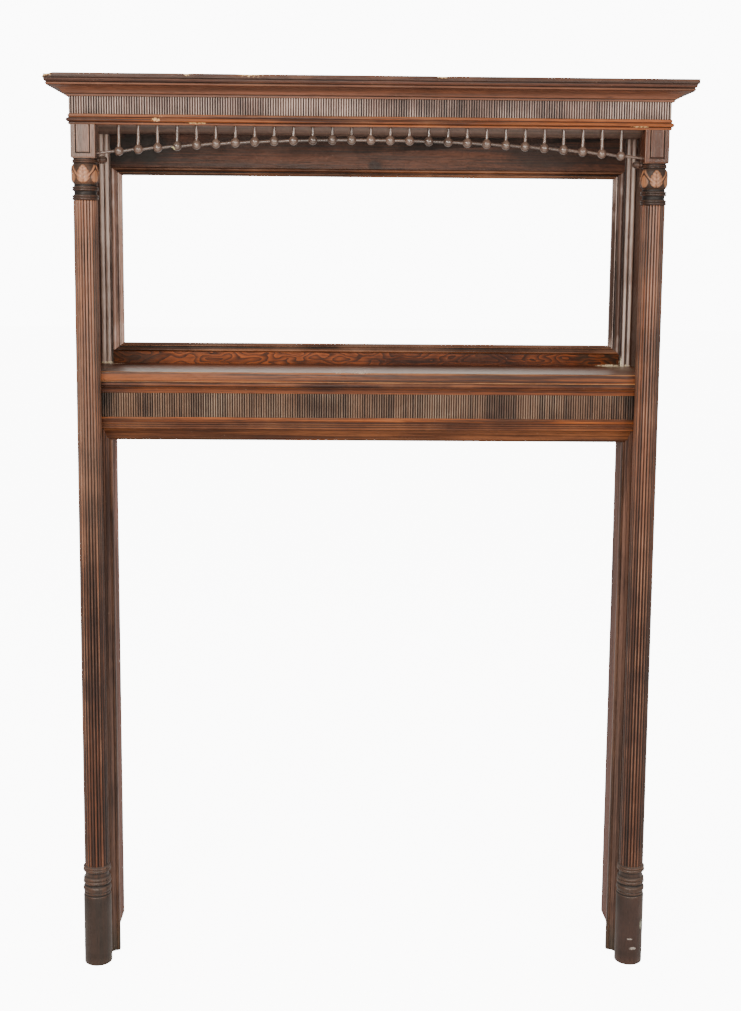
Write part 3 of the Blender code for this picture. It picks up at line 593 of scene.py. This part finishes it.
def make_shelf():
    """Shelf: its front edge follows y(x), which is the nose between the columns and the
    shoulder behind them."""
    shoulder = LINTEL_Y + GAP
    h = SHELF_TOP - SHELF_FOOT
    depth = SHELF_BACK - SHELF_Y
    shape = [(0.0016, 0.0), (0.0016, 0.003), (0.0, 0.0036), (0.0, h - 0.0026), (0.0009, h - 0.0008),
             (0.0034, h), (depth, h), (depth, 0.0)]
    section = rounded([(SHELF_Y + a, SHELF_FOOT + b) for a, b in shape], 0.0009, 3)
    x = np.linspace(-NOSE_HALF, NOSE_HALF, 360)
    ends = np.array([NOSE_HALF + 0.0002, CASE_INNER, CASE_INNER + 0.0002, SHELF_HALF - 0.001, SHELF_HALF])
    x = np.concatenate([-ends[::-1], x, ends])
    back = np.where(np.abs(x) > NOSE_HALF + 0.0001, shoulder - SHELF_Y, 0.0)[:, None]
    limit = np.where(np.abs(x) > CASE_INNER + 0.0001, SIDE_Y - GAP, SHELF_BACK)[:, None]
    share = np.clip(1 - (section[None, :, 0] - SHELF_Y) / 0.02, 0, 1)
    y = np.minimum(section[None, :, 0] + back * (share > 0), limit)
    z = section[None, :, 1] + 0.0002 * waver(x[:, None] * 5, y * 8, 61)
    run = np.broadcast_to(x[:, None], y.shape)
    chips = [((-0.02, SHELF_Y, SHELF_TOP), (0.034, 0.007, 0.0024), (0, 0.0014, -0.001)),
             ((-0.075, SHELF_Y, SHELF_TOP), (0.014, 0.006, 0.002), (0, 0.001, -0.0008))]
    points, bare = knock(np.stack([run, y, z], -1), chips)
    worn = np.broadcast_to(ridges(section), y.shape)
    piece("shelf", [stack(points, worn, bare * 0.7)],
          oak("shelf_oak", "x", dark=(0.034, 0.011, 0.005), light=(0.2, 0.058, 0.014),
              crest=(0.42, 0.195, 0.075), dust_and_sheen_amount=0.16, rough=0.34, shift=(4, 1, 6), crest_share=0.75,
              streak=0.9, flecks=0.03,
              marks=[((-0.665, BACK_Y, SHELF_TOP), (0.045, 0.048, 0.012), 0.95, PLASTER),
                     ((0.65, BACK_Y, SHELF_TOP), (0.049, 0.049, 0.012), 0.95, PLASTER),
                     ((0.66, 0.1, SHELF_TOP), (0.05, 0.1, 0.01), 0.45, (0.36, 0.28, 0.2))]), "shelf")
    top = SHELF_FOOT - GAP
    h = top - BED_FOOT
    nose = LINTEL_Y - SHELF_Y
    bead = SHELF_Y + 0.27 * nose
    back = LINTEL_Y + 0.004
    shape = [(back, top), (bead + 0.001, top), (bead + 0.001, top - 0.04 * h)]
    shape += arc((bead + 0.0004, top - 0.22 * h), (-0.25 * nose, 0.155 * h), 82, -82, 10)
    shape += [(bead + 0.001, top - 0.41 * h), (bead, top - 0.44 * h)]
    shape += arc((bead, BED_FOOT + 0.04 * h), (0.96 * (LINTEL_Y - bead), 0.5 * h), 88, 4, 12)
    shape += [(LINTEL_Y, BED_FOOT), (back, BED_FOOT)]
    run = carried(rounded(shape, 0.0006, 2), -NOSE_HALF, NOSE_HALF, "x", 260, seed=63)
    behind = board(-HALF, HALF, LINTEL_Y + REED_DEPTH, LINTEL_BACK, BED_FOOT, top, "x")
    piece("bed_moulding", [run, behind],
          oak("bed_oak", "x", dark=(0.026, 0.007, 0.003), light=(0.15, 0.041, 0.011),
              crest=(0.38, 0.13, 0.04), shift=(2, 2, 2), streak=0.7), "bed_moulding")


def make_lintel():
    """Reeded frieze, grooved board and the rounded moulding over the fireplace opening."""
    front, crests = reeds(-LEG_INNER, LEG_INNER, LINTEL_Y, seed=71)
    flat = LINTEL_Y + REED_DEPTH
    sides = [(HALF, flat), (HALF, LINTEL_BACK), (-HALF, LINTEL_BACK), (-HALF, flat)]
    face = reeded_board(front, crests, sides, LOWER_REED_FOOT, LOWER_REED_TOP, 8, 72)
    piece("lower_frieze", [face],
          oak("lower_reed_oak", "z", dark=(0.034, 0.016, 0.01), light=(0.12, 0.062, 0.036),
              crest=(0.3, 0.235, 0.17), crest_share=0.75, rough=0.42, streak=0.8, shift=(3, 3, 3),
              marks=[((sign * 0.68, LINTEL_Y, 1.434), (0.085, 0.1, 0.2), 0.8, SHADOW)
                     for _, sign in SIDES]), "lower_frieze")
    h = LINTEL_TOP - LINTEL_FOOT
    shape = [(LINTEL_BACK, LINTEL_TOP), (LINTEL_Y, LINTEL_TOP)]
    for level in (0.42, 0.6, 0.78):
        groove = LINTEL_TOP - level * h
        shape += [(LINTEL_Y, groove), (LINTEL_Y + 0.0017, groove - 0.0005),
                  (LINTEL_Y + 0.0017, groove - 0.0013), (LINTEL_Y, groove - 0.002)]
    shape += [(LINTEL_Y, LINTEL_FOOT), (LINTEL_BACK, LINTEL_FOOT)]
    run = carried(rounded(shape, 0.0006, 2), -HALF, HALF, "x", 260, seed=73)
    orange = dict(dark=(0.04, 0.012, 0.004), light=(0.32, 0.082, 0.014), crest=(0.3, 0.11, 0.036),
                  level=0.16)
    piece("lintel_board", [run],
          oak("lintel_oak", "x", **orange, streak=0.6, shift=(7, 1, 2),
              bands=[(-1, LINTEL_TOP - 0.4 * h, 0.003, 0.7, (0.066, 0.022, 0.01))]), "lintel_board")

    def quarter(width, lines=()):
        """Quarter round as (distance from the opening's edge, setback from the face), with
        sunk lines."""
        depth = span("opening_moulding_top")[3] - LINTEL_Y - 0.004
        a = np.radians(np.linspace(0, 90, 46 if lines else 20))
        across = 0.18 + 0.82 * np.cos(a)
        line = sum(0.0013 * np.exp(-((across - place) / 0.022) ** 2) for place in lines)
        curve = np.column_stack([width * across, 0.62 * depth * np.sin(a) ** 1.2 + line])
        shape = [(width, depth + 0.004)] + curve.tolist()
        shape += [(0.165 * width, 0.66 * depth), (0.13 * width, 0.7 * depth), (0, 0.72 * depth),
                  (0, depth + 0.004)]
        return rounded(shape, 0.0005, 2)

    rise = LINTEL_FOOT - GAP - OPENING_TOP
    d, s = quarter(rise).T
    section = np.column_stack([LINTEL_Y + s, OPENING_TOP + d])
    run = carried(section, -LEG_INNER + 0.004, LEG_INNER - 0.004, "x", 400, seed=75)
    points = run[0]
    beyond = np.clip((np.abs(points[:, 0]) - (NOSE_HALF - 0.026)) / 0.027, 0, 1)
    lift = 0.026 * (1 - np.sqrt(1 - beyond ** 2))
    share = np.clip((LINTEL_FOOT - GAP - points[:, 2]) / rise, 0, 1)
    points[:, 2] += lift * share
    orange.update(light=(0.145, 0.05, 0.018), crest=(0.22, 0.092, 0.042))
    piece("opening_moulding_top", [run], oak("opening_top_oak", "x", **orange, shift=(1, 8, 2), streak=0.8),
          "opening_moulding_top")
    width = LEG_INNER - OPENING_HALF
    d, s = quarter(width, (0.26, 0.36, 0.8, 0.9)).T
    high = LINTEL_FOOT - 2 * GAP
    s = s + 0.003
    for side, sign in SIDES:
        section = np.column_stack([sign * (OPENING_HALF + d), LINTEL_Y + s])
        piece("opening_moulding_" + side, [carried(section, 0, high, "z", 130, seed=77 + sign)],
              oak(f"opening_{side}_oak", "z", dark=(0.026, 0.01, 0.006), light=(0.15, 0.072, 0.045),
                  crest=(0.32, 0.16, 0.08), shift=(sign, 3, 1), streak=0.9,
                  bands=[(-1, 0.75, 0.5, 0.45, (0.075, 0.05, 0.042)),
                         (-1, 0.03, 0.06, 0.6, (0.04, 0.04, 0.03))]), "opening_moulding_" + side)


def make_legs():
    """Leg boards, outer sides, and the returns whose lower inner corner is broken away."""
    plain = dict(dark=(0.03, 0.012, 0.007), light=(0.095, 0.038, 0.02))
    for side, sign in SIDES:
        for part, seed in (("leg_board_", 81), ("side_board_", 83)):
            piece(part + side, [board(*span(part + side), "z", seed=seed + sign)],
                  oak(part + side + "_oak", "z", **plain, shift=(seed, sign, 0)), part + side)
        limits = span("jamb_return_" + side)
        points, faces, worn, _ = board(*limits, "z", stations=80, seed=85 + sign)
        broken = ((0.61, limits[2] + 0.03, limits[4]), (0.1, 0.035, 0.03), (0, 0, 0.012))
        points, bare = knock(points, [broken])
        piece("jamb_return_" + side, [(points, faces, worn, bare * 0.5)],
              oak(f"jamb_{side}_oak", "z", dark=(0.06, 0.028, 0.02),
                  light=(0.255 - 0.055 * sign, 0.135 - 0.025 * sign, 0.11 - 0.02 * sign), rough=0.55,
                  crest=(0.26, 0.14, 0.11), shift=(sign, 6, 2), streak=0.9, level=0.12, dust_and_sheen_amount=0.0,
                  bands=[(-1, 0.6, 0.5, 0.55, (0.095, 0.034, 0.026))]), "jamb_return_" + side)


# ---------------------------------------------------------------- columns

def column_foot():
    """Turned foot as rows of (radius, height): a drum, then rings, a neck and two rings, each
    ring an arc."""
    drum, neck = 0.0348, 0.0298
    low, high = 0.182, 0.262
    step = high - low

    def at(t):
        return low + step * t

    rows = [(drum - 0.0012, 0.0), (drum - 0.0003, 0.0008), (drum, 0.0025)]
    rows += [(drum - 0.0002 * math.sin(9 * k), 0.0025 + (at(0) - 0.0035) * k / 8) for k in range(1, 9)]
    rows += [(drum - 0.0004, at(0)), (drum - 0.0022, at(0.02)), (drum - 0.0022, at(0.05))]
    rows += [(drum - 0.0012, at(0.07)), (drum - 0.0014, at(0.12))]
    rows += arc((drum - 0.0026, at(0.225)), (0.0032, 0.085 * step), -88, 88, 10)
    rows += [(drum - 0.0042, at(0.33)), (drum - 0.0046, at(0.36)), (drum - 0.0042, at(0.385))]
    rows += arc((drum - 0.0034, at(0.45)), (0.0036, 0.055 * step), -85, 85, 8)
    rows += arc((drum - 0.0034, at(0.555)), (0.0028, 0.045 * step), -80, 80, 6)
    rows += [(neck + 0.0004, at(0.62)), (neck, at(0.68)), (neck, at(0.74)), (neck + 0.0006, at(0.79))]
    rows += arc((drum - 0.004, at(0.845)), (0.0042, 0.055 * step), -85, 85, 8)
    rows += arc((drum - 0.0034, at(0.935)), (0.003, 0.035 * step), -80, 80, 6)
    return rows, high


def cushion_carving(angle, t):
    """Height of the leaves carved on the cushion, for an angle and a level t from 0 to 1.

    Three times round: a pointed leaf with a midrib and slanting veins, between two ribs that
    start at its foot and spread to the top, with a small leaf in each corner.
    """
    a = (angle * 3 / math.pi + 1) % 2 - 1
    b = np.abs(a)
    wide = 0.5 * np.sin(math.pi * t ** 0.75) + 0.02
    leaf = np.sqrt(np.clip(1 - (b / wide) ** 2, 0, 1))
    vein = 0.16 * np.cos(2 * math.pi * (4.5 * t - 2.4 * b)) * (leaf > 0.1)
    rib = -0.45 * np.exp(-(a / 0.07) ** 2) * (leaf > 0.1)
    line = 0.12 + 0.8 * (0.5 - 0.5 * np.cos(math.pi * t))
    arch = 0.75 * np.exp(-((b - line) / 0.085) ** 2)
    corner_wide = 0.42 * np.sin(math.pi * np.clip((t + 0.05) / 0.75, 0, 1)) + 0.01
    corner = 0.75 * np.sqrt(np.clip(1 - ((1 - b) / corner_wide) ** 2, 0, 1)) * (t < 0.7)
    cut = -0.35 * np.exp(-((1 - b) / 0.06) ** 2) * (corner > 0.05)
    field = np.maximum(np.maximum(leaf * 0.85 + vein + rib, arch), corner + cut)
    return field * np.clip(8 * t, 0, 1) * np.clip(8 * (1 - t), 0, 1)


def column_rings(sign, around=240):
    """Rings of the turned and reeded part: radius(height) less the reeds' hollows, plus the
    cushion's carving."""
    foot_rows, reed_foot = column_foot()
    head_height = 0.098
    head_foot = BLOCK_FOOT - head_height
    shaft_low, shaft_high = 0.031, 0.0288
    reed_count = 24
    shaft_z = np.concatenate([reed_foot + np.array([0, 0.0008, 0.0016, 0.0028, 0.0045, 0.007, 0.01]),
                              np.linspace(reed_foot + 0.03, head_foot - 0.03, 60),
                              head_foot - np.array([0.008, 0.0045, 0.0025, 0.0012, 0.0004])])
    shaft_r = np.interp(shaft_z, [reed_foot, head_foot], [shaft_low, shaft_high])
    neck, ring = 0.0268, 0.0312

    def at(t):
        return head_foot + head_height * t

    def thin_ring(middle, half):
        return arc((ring - 0.0022, at(middle)), (0.0022, head_height * half), -84, 84, 8)

    head = thin_ring(0.035, 0.03) + thin_ring(0.095, 0.028)
    head += [(neck + 0.0006, at(0.13)), (neck, at(0.145)), (neck - 0.0003, at(0.175)), (neck, at(0.205)),
             (neck + 0.0006, at(0.22))]
    head += thin_ring(0.252, 0.026) + thin_ring(0.304, 0.025)
    head += [(neck + 0.0004, at(0.335)), (neck, at(0.35)), (neck, at(0.378)), (neck + 0.0008, at(0.392))]
    t = np.linspace(0, 1, 56)
    bulge = (1 - np.abs(2 * t - 1) ** 5) ** 0.5
    cushion_z = at(0.4 + 0.475 * t)
    cushion_r = 0.027 + 0.0053 * bulge
    above = [(neck + 0.001, at(0.885)), (neck + 0.001, at(0.893))]
    for middle in (0.915, 0.957):
        above += arc((ring - 0.003, at(middle)), (0.002, head_height * 0.018), -80, 80, 6)
    above += [(neck + 0.001, at(0.985)), (neck + 0.001, at(1.004))]
    foot_rows, head, above = (np.array(rows) for rows in (foot_rows, head, above))
    r = np.concatenate([foot_rows[:, 0], shaft_r, head[:, 0], cushion_r, above[:, 0]])
    z = np.concatenate([foot_rows[:, 1], shaft_z, head[:, 1], cushion_z, above[:, 1]])
    angle = np.linspace(0, 2 * math.pi, around, endpoint=False)[None, :]
    reeded = np.zeros(len(z))
    reeded[len(foot_rows):len(foot_rows) + len(shaft_z)] = 1
    place = angle * reed_count / (2 * math.pi)
    w = 2 * (place % 1) - 1
    rise = np.clip((z[:, None] - reed_foot - 0.003 * w ** 2) / 0.0035, 0, 1)
    fall = np.clip((head_foot - z[:, None] - 0.0015 * w ** 2) / 0.0025, 0, 1)
    drop = 0.0024 * (1 - np.sqrt(np.clip(1 - w ** 2, 0, 1)))
    ends = 0.0014 * (1 - np.minimum(np.sqrt(rise), np.sqrt(fall)))
    cut = reeded[:, None] * (drop * np.sqrt(np.clip(rise, 0.02, 1)) + ends)
    carved = np.zeros((len(z), around))
    start = len(foot_rows) + len(shaft_z) + len(head)
    cushion = slice(start, start + len(t))
    carved[cushion] = cushion_carving(angle + math.pi / 2, t[:, None])
    radius = r[:, None] - cut + 0.0021 * carved - 0.0006 * (carved > 0)
    radius = radius + 0.00012 * waver(z[:, None] * 6, 2 * np.cos(angle), 91 + sign)
    outline = np.column_stack([r, z])
    base = ridges(np.vstack([outline, [[0, z[-1]], [0, 0]]]), 0.0022)[:len(z), None]
    rng = np.random.default_rng(17 + sign)
    own = rng.uniform(-0.55, 0.25, reed_count)[place.astype(int) % reed_count]
    # aside and below lower the reeds' ridge value on the shaft's flanks and under 0.8 m, so these take less
    # crest and more hollow colour: painted shade.
    aside = 0.55 * np.clip(np.abs(np.cos(angle)) - 0.45, 0, 1)
    below = 0.3 * np.clip((0.8 - z[:, None]) / 0.4, 0, 1)
    on_reeds = np.clip(1.0 + own - aside - below - 1.9 * np.abs(w), -0.8, 1)
    worn = np.where(reeded[:, None] > 0, on_reeds, base)
    worn[:len(foot_rows)] -= 0.45
    worn[start - len(head):start] -= 0.85
    worn[cushion.stop:] -= 0.8
    # The carving's raised leaves take the crest colour and its ground the hollow colour: wear and dirt
    # together with a painted highlight and a painted shade.
    worn[cushion] = np.clip(2.8 * carved[cushion] - 1.3, -0.85, 1)
    x = sign * COLUMN_X + radius * np.cos(angle)
    y = COLUMN_Y + radius * np.sin(angle)
    return np.stack([x, y, np.broadcast_to(z[:, None], x.shape)], -1), worn


def block_rings(sign):
    """Square block. Its front at (x, z) is set back by a groove that follows the panel's
    sides and foot, and its lower edges round in."""
    half = BLOCK_WIDTH / 2
    edge = half - 0.0125
    low, high = BLOCK_FOOT, COLUMN_TOP
    near_groove = np.linspace(-0.0028, 0.0028, 13)
    round_in = 0.0045
    front_x = np.unique(np.concatenate([np.linspace(-half + 0.0012, half - 0.0012, 30),
                                        near_groove - edge, near_groove + edge]))
    corner = rounded([(-half, half), (-half, -half), (half, -half), (half, half)], 0.0012, 3)
    before, after = corner[:8], corner[8:]
    section = np.vstack([before, np.column_stack([front_x, np.full(len(front_x), -half)]), after])
    panel_foot = low + 0.013
    z = np.unique(np.concatenate([low + round_in * np.array([0, 0.06, 0.2, 0.45, 0.75, 1.0]),
                                  panel_foot + near_groove, np.linspace(low + 0.006, high, 26)]))
    d = np.clip(1 - (z - low) / round_in, 0, 1)
    draw = 0.0038 * (1 - np.sqrt(1 - d ** 2))
    x = section[None, :, 0] * (1 - draw[:, None] / half)
    y = section[None, :, 1] * (1 - draw[:, None] / half)
    is_front = np.zeros(len(section))
    is_front[len(before):len(before) + len(front_x)] = 1
    across = np.abs(section[None, :, 0]) - edge
    upward = z[:, None] - panel_foot
    side_groove = np.exp(-(across / 0.0011) ** 2) * (upward > -0.0012)
    foot_groove = np.exp(-(upward / 0.0011) ** 2) * (across < 0.0012)
    groove = np.maximum(side_groove, foot_groove) * is_front
    inside = np.clip(-across / 0.001, 0, 1) * np.clip(upward / 0.001, 0, 1) * is_front
    y = y + 0.0026 * groove + 0.0007 * inside
    worn = np.maximum(ridges(section)[None, :] * (1 - is_front), (d > 0.1)[:, None] * 0.6)
    # The groove takes the hollow colour and lines beside the side grooves take the crest colour: painted
    # shade in the groove and a painted glint on the panel's edges.
    edge_glint = np.exp(-((np.abs(across) - 0.0026) / 0.001) ** 2) * is_front * (upward > 0)
    worn = np.clip(worn - 2.2 * groove + 0.8 * edge_glint, -1, 1)
    x = np.broadcast_to(x, y.shape) + sign * COLUMN_X
    return np.stack([x, y + COLUMN_Y, np.broadcast_to(z[:, None], y.shape)], -1), worn


def make_columns():
    for side, sign in SIDES:
        # block is the tint for the square block: greyish and light on the left column, dark red-brown on the
        # right: painted light from the left and a painted sheen.
        block = (0.094 - 0.042 * sign, 0.055 - 0.037 * sign, 0.043 - 0.033 * sign)
        # The first band darkens the shaft below about 0.95 m, fading out by 1.65 m, more on the right column,
        # and the fourth lightens the upper shaft, more on the left: painted shade low down and painted light
        # high up and from the left.
        bands = [(-1, 0.95, 0.7, 0.62 + 0.12 * sign, (0.026, 0.011, 0.007)),
                 (-1, 0.255, 0.01, 0.6, (0.046, 0.034, 0.026)),
                 (-1, 0.176, 0.006, 0.62, (0.038 + 0.008 * sign, 0.021, 0.016)),
                 (1.3, 1.93, 0.4, 0.22 - 0.08 * sign, (0.28, 0.17, 0.12)),
                 (1.931, 1.968, 0.002, 0.85, (0.018, 0.009, 0.006)),
                 (1.97, 2.014, 0.003, 0.4, (0.46, 0.21, 0.1)),
                 (2.017, 2.027, 0.001, 0.7, (0.018, 0.009, 0.006)), (2.028, 2.2, 0.002, 0.75, block)]
        finish = oak(f"column_{side}_oak", "z", dark=(0.032, 0.01, 0.005), light=(0.2, 0.06, 0.02),
                     crest=(0.42, 0.215, 0.13), crest_share=0.65, rough=0.27, streak=0.8, flecks=0.12,
                     level=0.34, shift=(2 * sign, 1, 3), bands=bands,
                     marks=[((0.71, -0.132, 0.105), (0.006, 0.02, 0.016), 0.6, (0.34, 0.37, 0.28)),
                            ((0.688, -0.145, 0.045), (0.012, 0.02, 0.005), 0.5, (0.5, 0.46, 0.42)),
                            ((0.68, -0.145, 0.07), (0.01, 0.02, 0.003), 0.5, (0.5, 0.46, 0.42))])
        piece("column_" + side, [stack(*column_rings(sign)), stack(*block_rings(sign))], finish,
              "column_" + side)


# ---------------------------------------------------------------- gallery

def make_gallery():
    """Balls on a dowel that follows a parabola, hung on tapered sticks, and a carved boss at
    each end."""
    bx0, bx1, _, _, bz0, bz1 = span("gallery_boss_right")
    boss_z = (bz0 + bz1) / 2
    block_side = COLUMN_X - BLOCK_WIDTH / 2 - GAP
    half_span = block_side - 0.0523
    ball, dowel, balls = 0.0112, 0.0034, 27

    def arch(x):
        return SOFFIT - 0.029 - 0.0313 * (x / half_span) ** 2

    centre = np.linspace(-half_span, half_span, balls)
    level = arch(centre)
    a = np.radians(np.linspace(-73.5, 73.5, 17))
    offset = ball * np.sin(a)
    size = np.maximum(ball * np.cos(a), dowel)
    run_end = block_side - 2 * GAP
    end_z = arch(run_end)
    x = np.concatenate([[-run_end], (centre[:, None] + offset).ravel(), [run_end]])
    z = np.concatenate([[end_z], np.repeat(level, len(a)), [end_z]])
    r = np.concatenate([[dowel], np.tile(size, balls), [dowel]])
    worn = np.concatenate([[0], np.tile(np.clip(1.3 * np.cos(a) - 0.7, -1, 1), balls), [0]])
    angle = np.linspace(0, 2 * math.pi, 24, endpoint=False)[None, :]
    rings = np.stack([x[:, None] + 0 * angle, COLUMN_Y + r[:, None] * np.cos(angle),
                      z[:, None] + r[:, None] * np.sin(angle)], -1)
    parts = [stack(rings, worn[:, None])]
    t = np.array([0, 0.06, 0.12, 0.16, 0.3, 0.55, 0.8, 0.93, 0.97, 1.0])
    stick = np.array([0.005, 0.0045, 0.0042, 0.0041, 0.004, 0.0039, 0.0038, 0.0037, 0.004, 0.0041])
    ring = np.linspace(0, 2 * math.pi, 14, endpoint=False)[None, :]
    for i, (cx, cz) in enumerate(zip(centre, level)):
        foot = cz + 0.78 * ball
        height = (foot + (SOFFIT - GAP - foot) * t)[:, None]
        lean = 0.0006 * math.sin(i * 2.4)
        rings = np.stack([cx + lean * t[:, None] + stick[:, None] * np.cos(ring),
                          COLUMN_Y + stick[:, None] * np.sin(ring), height + 0 * ring], -1)
        parts.append(stack(rings, 0.2))
    finish = oak("gallery_oak", "z", dark=(0.055, 0.034, 0.026), light=(0.12, 0.074, 0.056),
                 crest=(0.3, 0.22, 0.17), dust_and_sheen_amount=0.35, rough=0.16, shift=(2, 9, 1), level=0.8, streak=0.15,
                 flecks=0.0, marks=[((-0.472, COLUMN_Y - 0.004, 2.054), (0.008, 0.008, 0.006), 0.9,
                                     (0.75, 0.68, 0.35))])
    piece("gallery", parts, finish, "gallery")
    s = np.array([0, 0.02, 0.05, 0.16, 0.22, 0.3, 0.42, 0.52, 0.6, 0.66, 0.72, 0.86, 0.95, 1.0])
    shape = np.array([0.68, 0.74, 0.76, 0.78, 0.7, 0.88, 1.0, 0.99, 0.98, 0.9, 0.86, 0.72, 0.52, 0.34])
    turn = np.linspace(0, 2 * math.pi, 64, endpoint=False)[None, :]
    petals = 0.1 * np.abs(np.cos(4 * turn)) * np.sin(math.pi * np.clip((s - 0.22) / 0.5, 0, 1))[:, None]
    radius = (bz1 - bz0) / 2 * (shape[:, None] * (0.93 - petals * 0.6) + petals * 0.5)
    length = bx1 - bx0
    for side, sign in SIDES:
        bx = sign * (bx1 - length * s)[:, None]
        rings = np.stack([bx + 0 * turn, COLUMN_Y + radius * np.cos(turn),
                          boss_z + radius * np.sin(turn)], -1)
        piece("gallery_boss_" + side, [stack(rings, np.clip(8 * petals - 0.3, -1, 1))],
              oak(f"boss_{side}_oak", "x", dark=(0.024, 0.012, 0.008), light=(0.08, 0.04, 0.026),
                  crest=(0.26, 0.17, 0.12), rough=0.3, shift=(sign, 4, 1)), "gallery_boss_" + side)


# ---------------------------------------------------------------- studio

def make_studio():
    """White floor and backdrop, a dim warm surround for the oak, and four lamps."""
    mesh = bpy.data.meshes.new("studio_floor")
    reach = 30.0
    corners = [(-reach, -reach, 0), (reach, -reach, 0), (reach, reach, 0), (-reach, reach, 0)]
    mesh.from_pydata(corners, [], [(0, 1, 2, 3)])
    floor = bpy.data.objects.new("studio_floor", mesh)
    link(floor)
    paint = Nodes("pale_floor")
    paint.shader.inputs["Base Color"].default_value = (0.92, 0.92, 0.92, 1)
    paint.shader.inputs["Roughness"].default_value = 0.9
    paint.shader.inputs["Emission Color"].default_value = (1, 1, 1, 1)
    ray = paint.add("ShaderNodeLightPath").outputs["Is Camera Ray"]
    paint.put(paint.shader.inputs["Emission Strength"], paint.ramp(ray, 0, 1, 0.0, 10.0))
    mesh.materials.append(paint.material)
    world = bpy.data.worlds.new("studio")
    bpy.context.scene.world = world
    world.use_nodes = True
    tree = world.node_tree
    background = tree.nodes["Background"]
    seen = tree.nodes.new("ShaderNodeBackground")
    for node, colour, strength in ((background, (1.0, 0.95, 0.9, 1), 0.58), (seen, (1, 1, 1, 1), 11.0)):
        node.inputs["Color"].default_value = colour
        node.inputs["Strength"].default_value = strength
    path = tree.nodes.new("ShaderNodeLightPath")
    both = tree.nodes.new("ShaderNodeMixShader")
    tree.links.new(path.outputs["Is Camera Ray"], both.inputs[0])
    tree.links.new(background.outputs[0], both.inputs[1])
    tree.links.new(seen.outputs[0], both.inputs[2])
    tree.links.new(both.outputs[0], tree.nodes["World Output"].inputs["Surface"])
    for name, place, aim, size, power in (
            ("key", (-1.9, -3.4, 3.0), 1.4, 1.0, 125), ("fill", (2.3, -3.2, 2.2), 1.3, 1.2, 70),
            ("front", (-0.2, -3.8, 1.7), 1.6, 1.4, 75), ("back", (0.0, 3.4, 3.4), 1.6, 2.5, 60)):
        light = bpy.data.lights.new(name, "AREA")
        light.shape = "SQUARE"
        light.size = size
        light.energy = power
        light.color = (1.0, 0.91, 0.82)
        lamp = bpy.data.objects.new(name, light)
        lamp.location = place
        lamp.rotation_euler = (Vector((0, 0, aim)) - Vector(place)).to_track_quat("-Z", "Y").to_euler()
        link(lamp)


def make_camera():
    """Viewpoint fitted to the photograph's edges: focal length and centre in its pixels."""
    width, height = 741, 1011
    focal, centre_x, centre_y = 1459.73, 370.5, 446.0
    pitch, yaw, roll = 0.13437, 0.0214, -0.00842
    place = (-0.0711, FACE_Y - 3.5329, 1.8206)
    sensor = 24
    ahead = Vector((math.sin(yaw) * math.cos(pitch), math.cos(yaw) * math.cos(pitch), -math.sin(pitch)))
    level = Vector((math.cos(yaw), -math.sin(yaw), 0))
    below = ahead.cross(level)
    right = math.cos(roll) * level + math.sin(roll) * below
    down = math.cos(roll) * below - math.sin(roll) * level
    data = bpy.data.cameras.new("photo_view")
    data.sensor_fit = "VERTICAL"
    data.sensor_height = sensor
    data.lens = focal / height * sensor
    data.shift_x = (width / 2 - centre_x) / height
    data.shift_y = (centre_y - height / 2) / height
    data.clip_end = 100
    camera = bpy.data.objects.new("photo_view", data)
    axes = Matrix((right, -down, -ahead)).transposed().to_4x4()
    camera.matrix_world = Matrix.Translation(place) @ axes
    link(camera)
    bpy.context.scene.camera = camera


make_cornice()
make_back()
make_shelf()
make_lintel()
make_legs()
make_columns()
make_gallery()
make_studio()
make_camera()
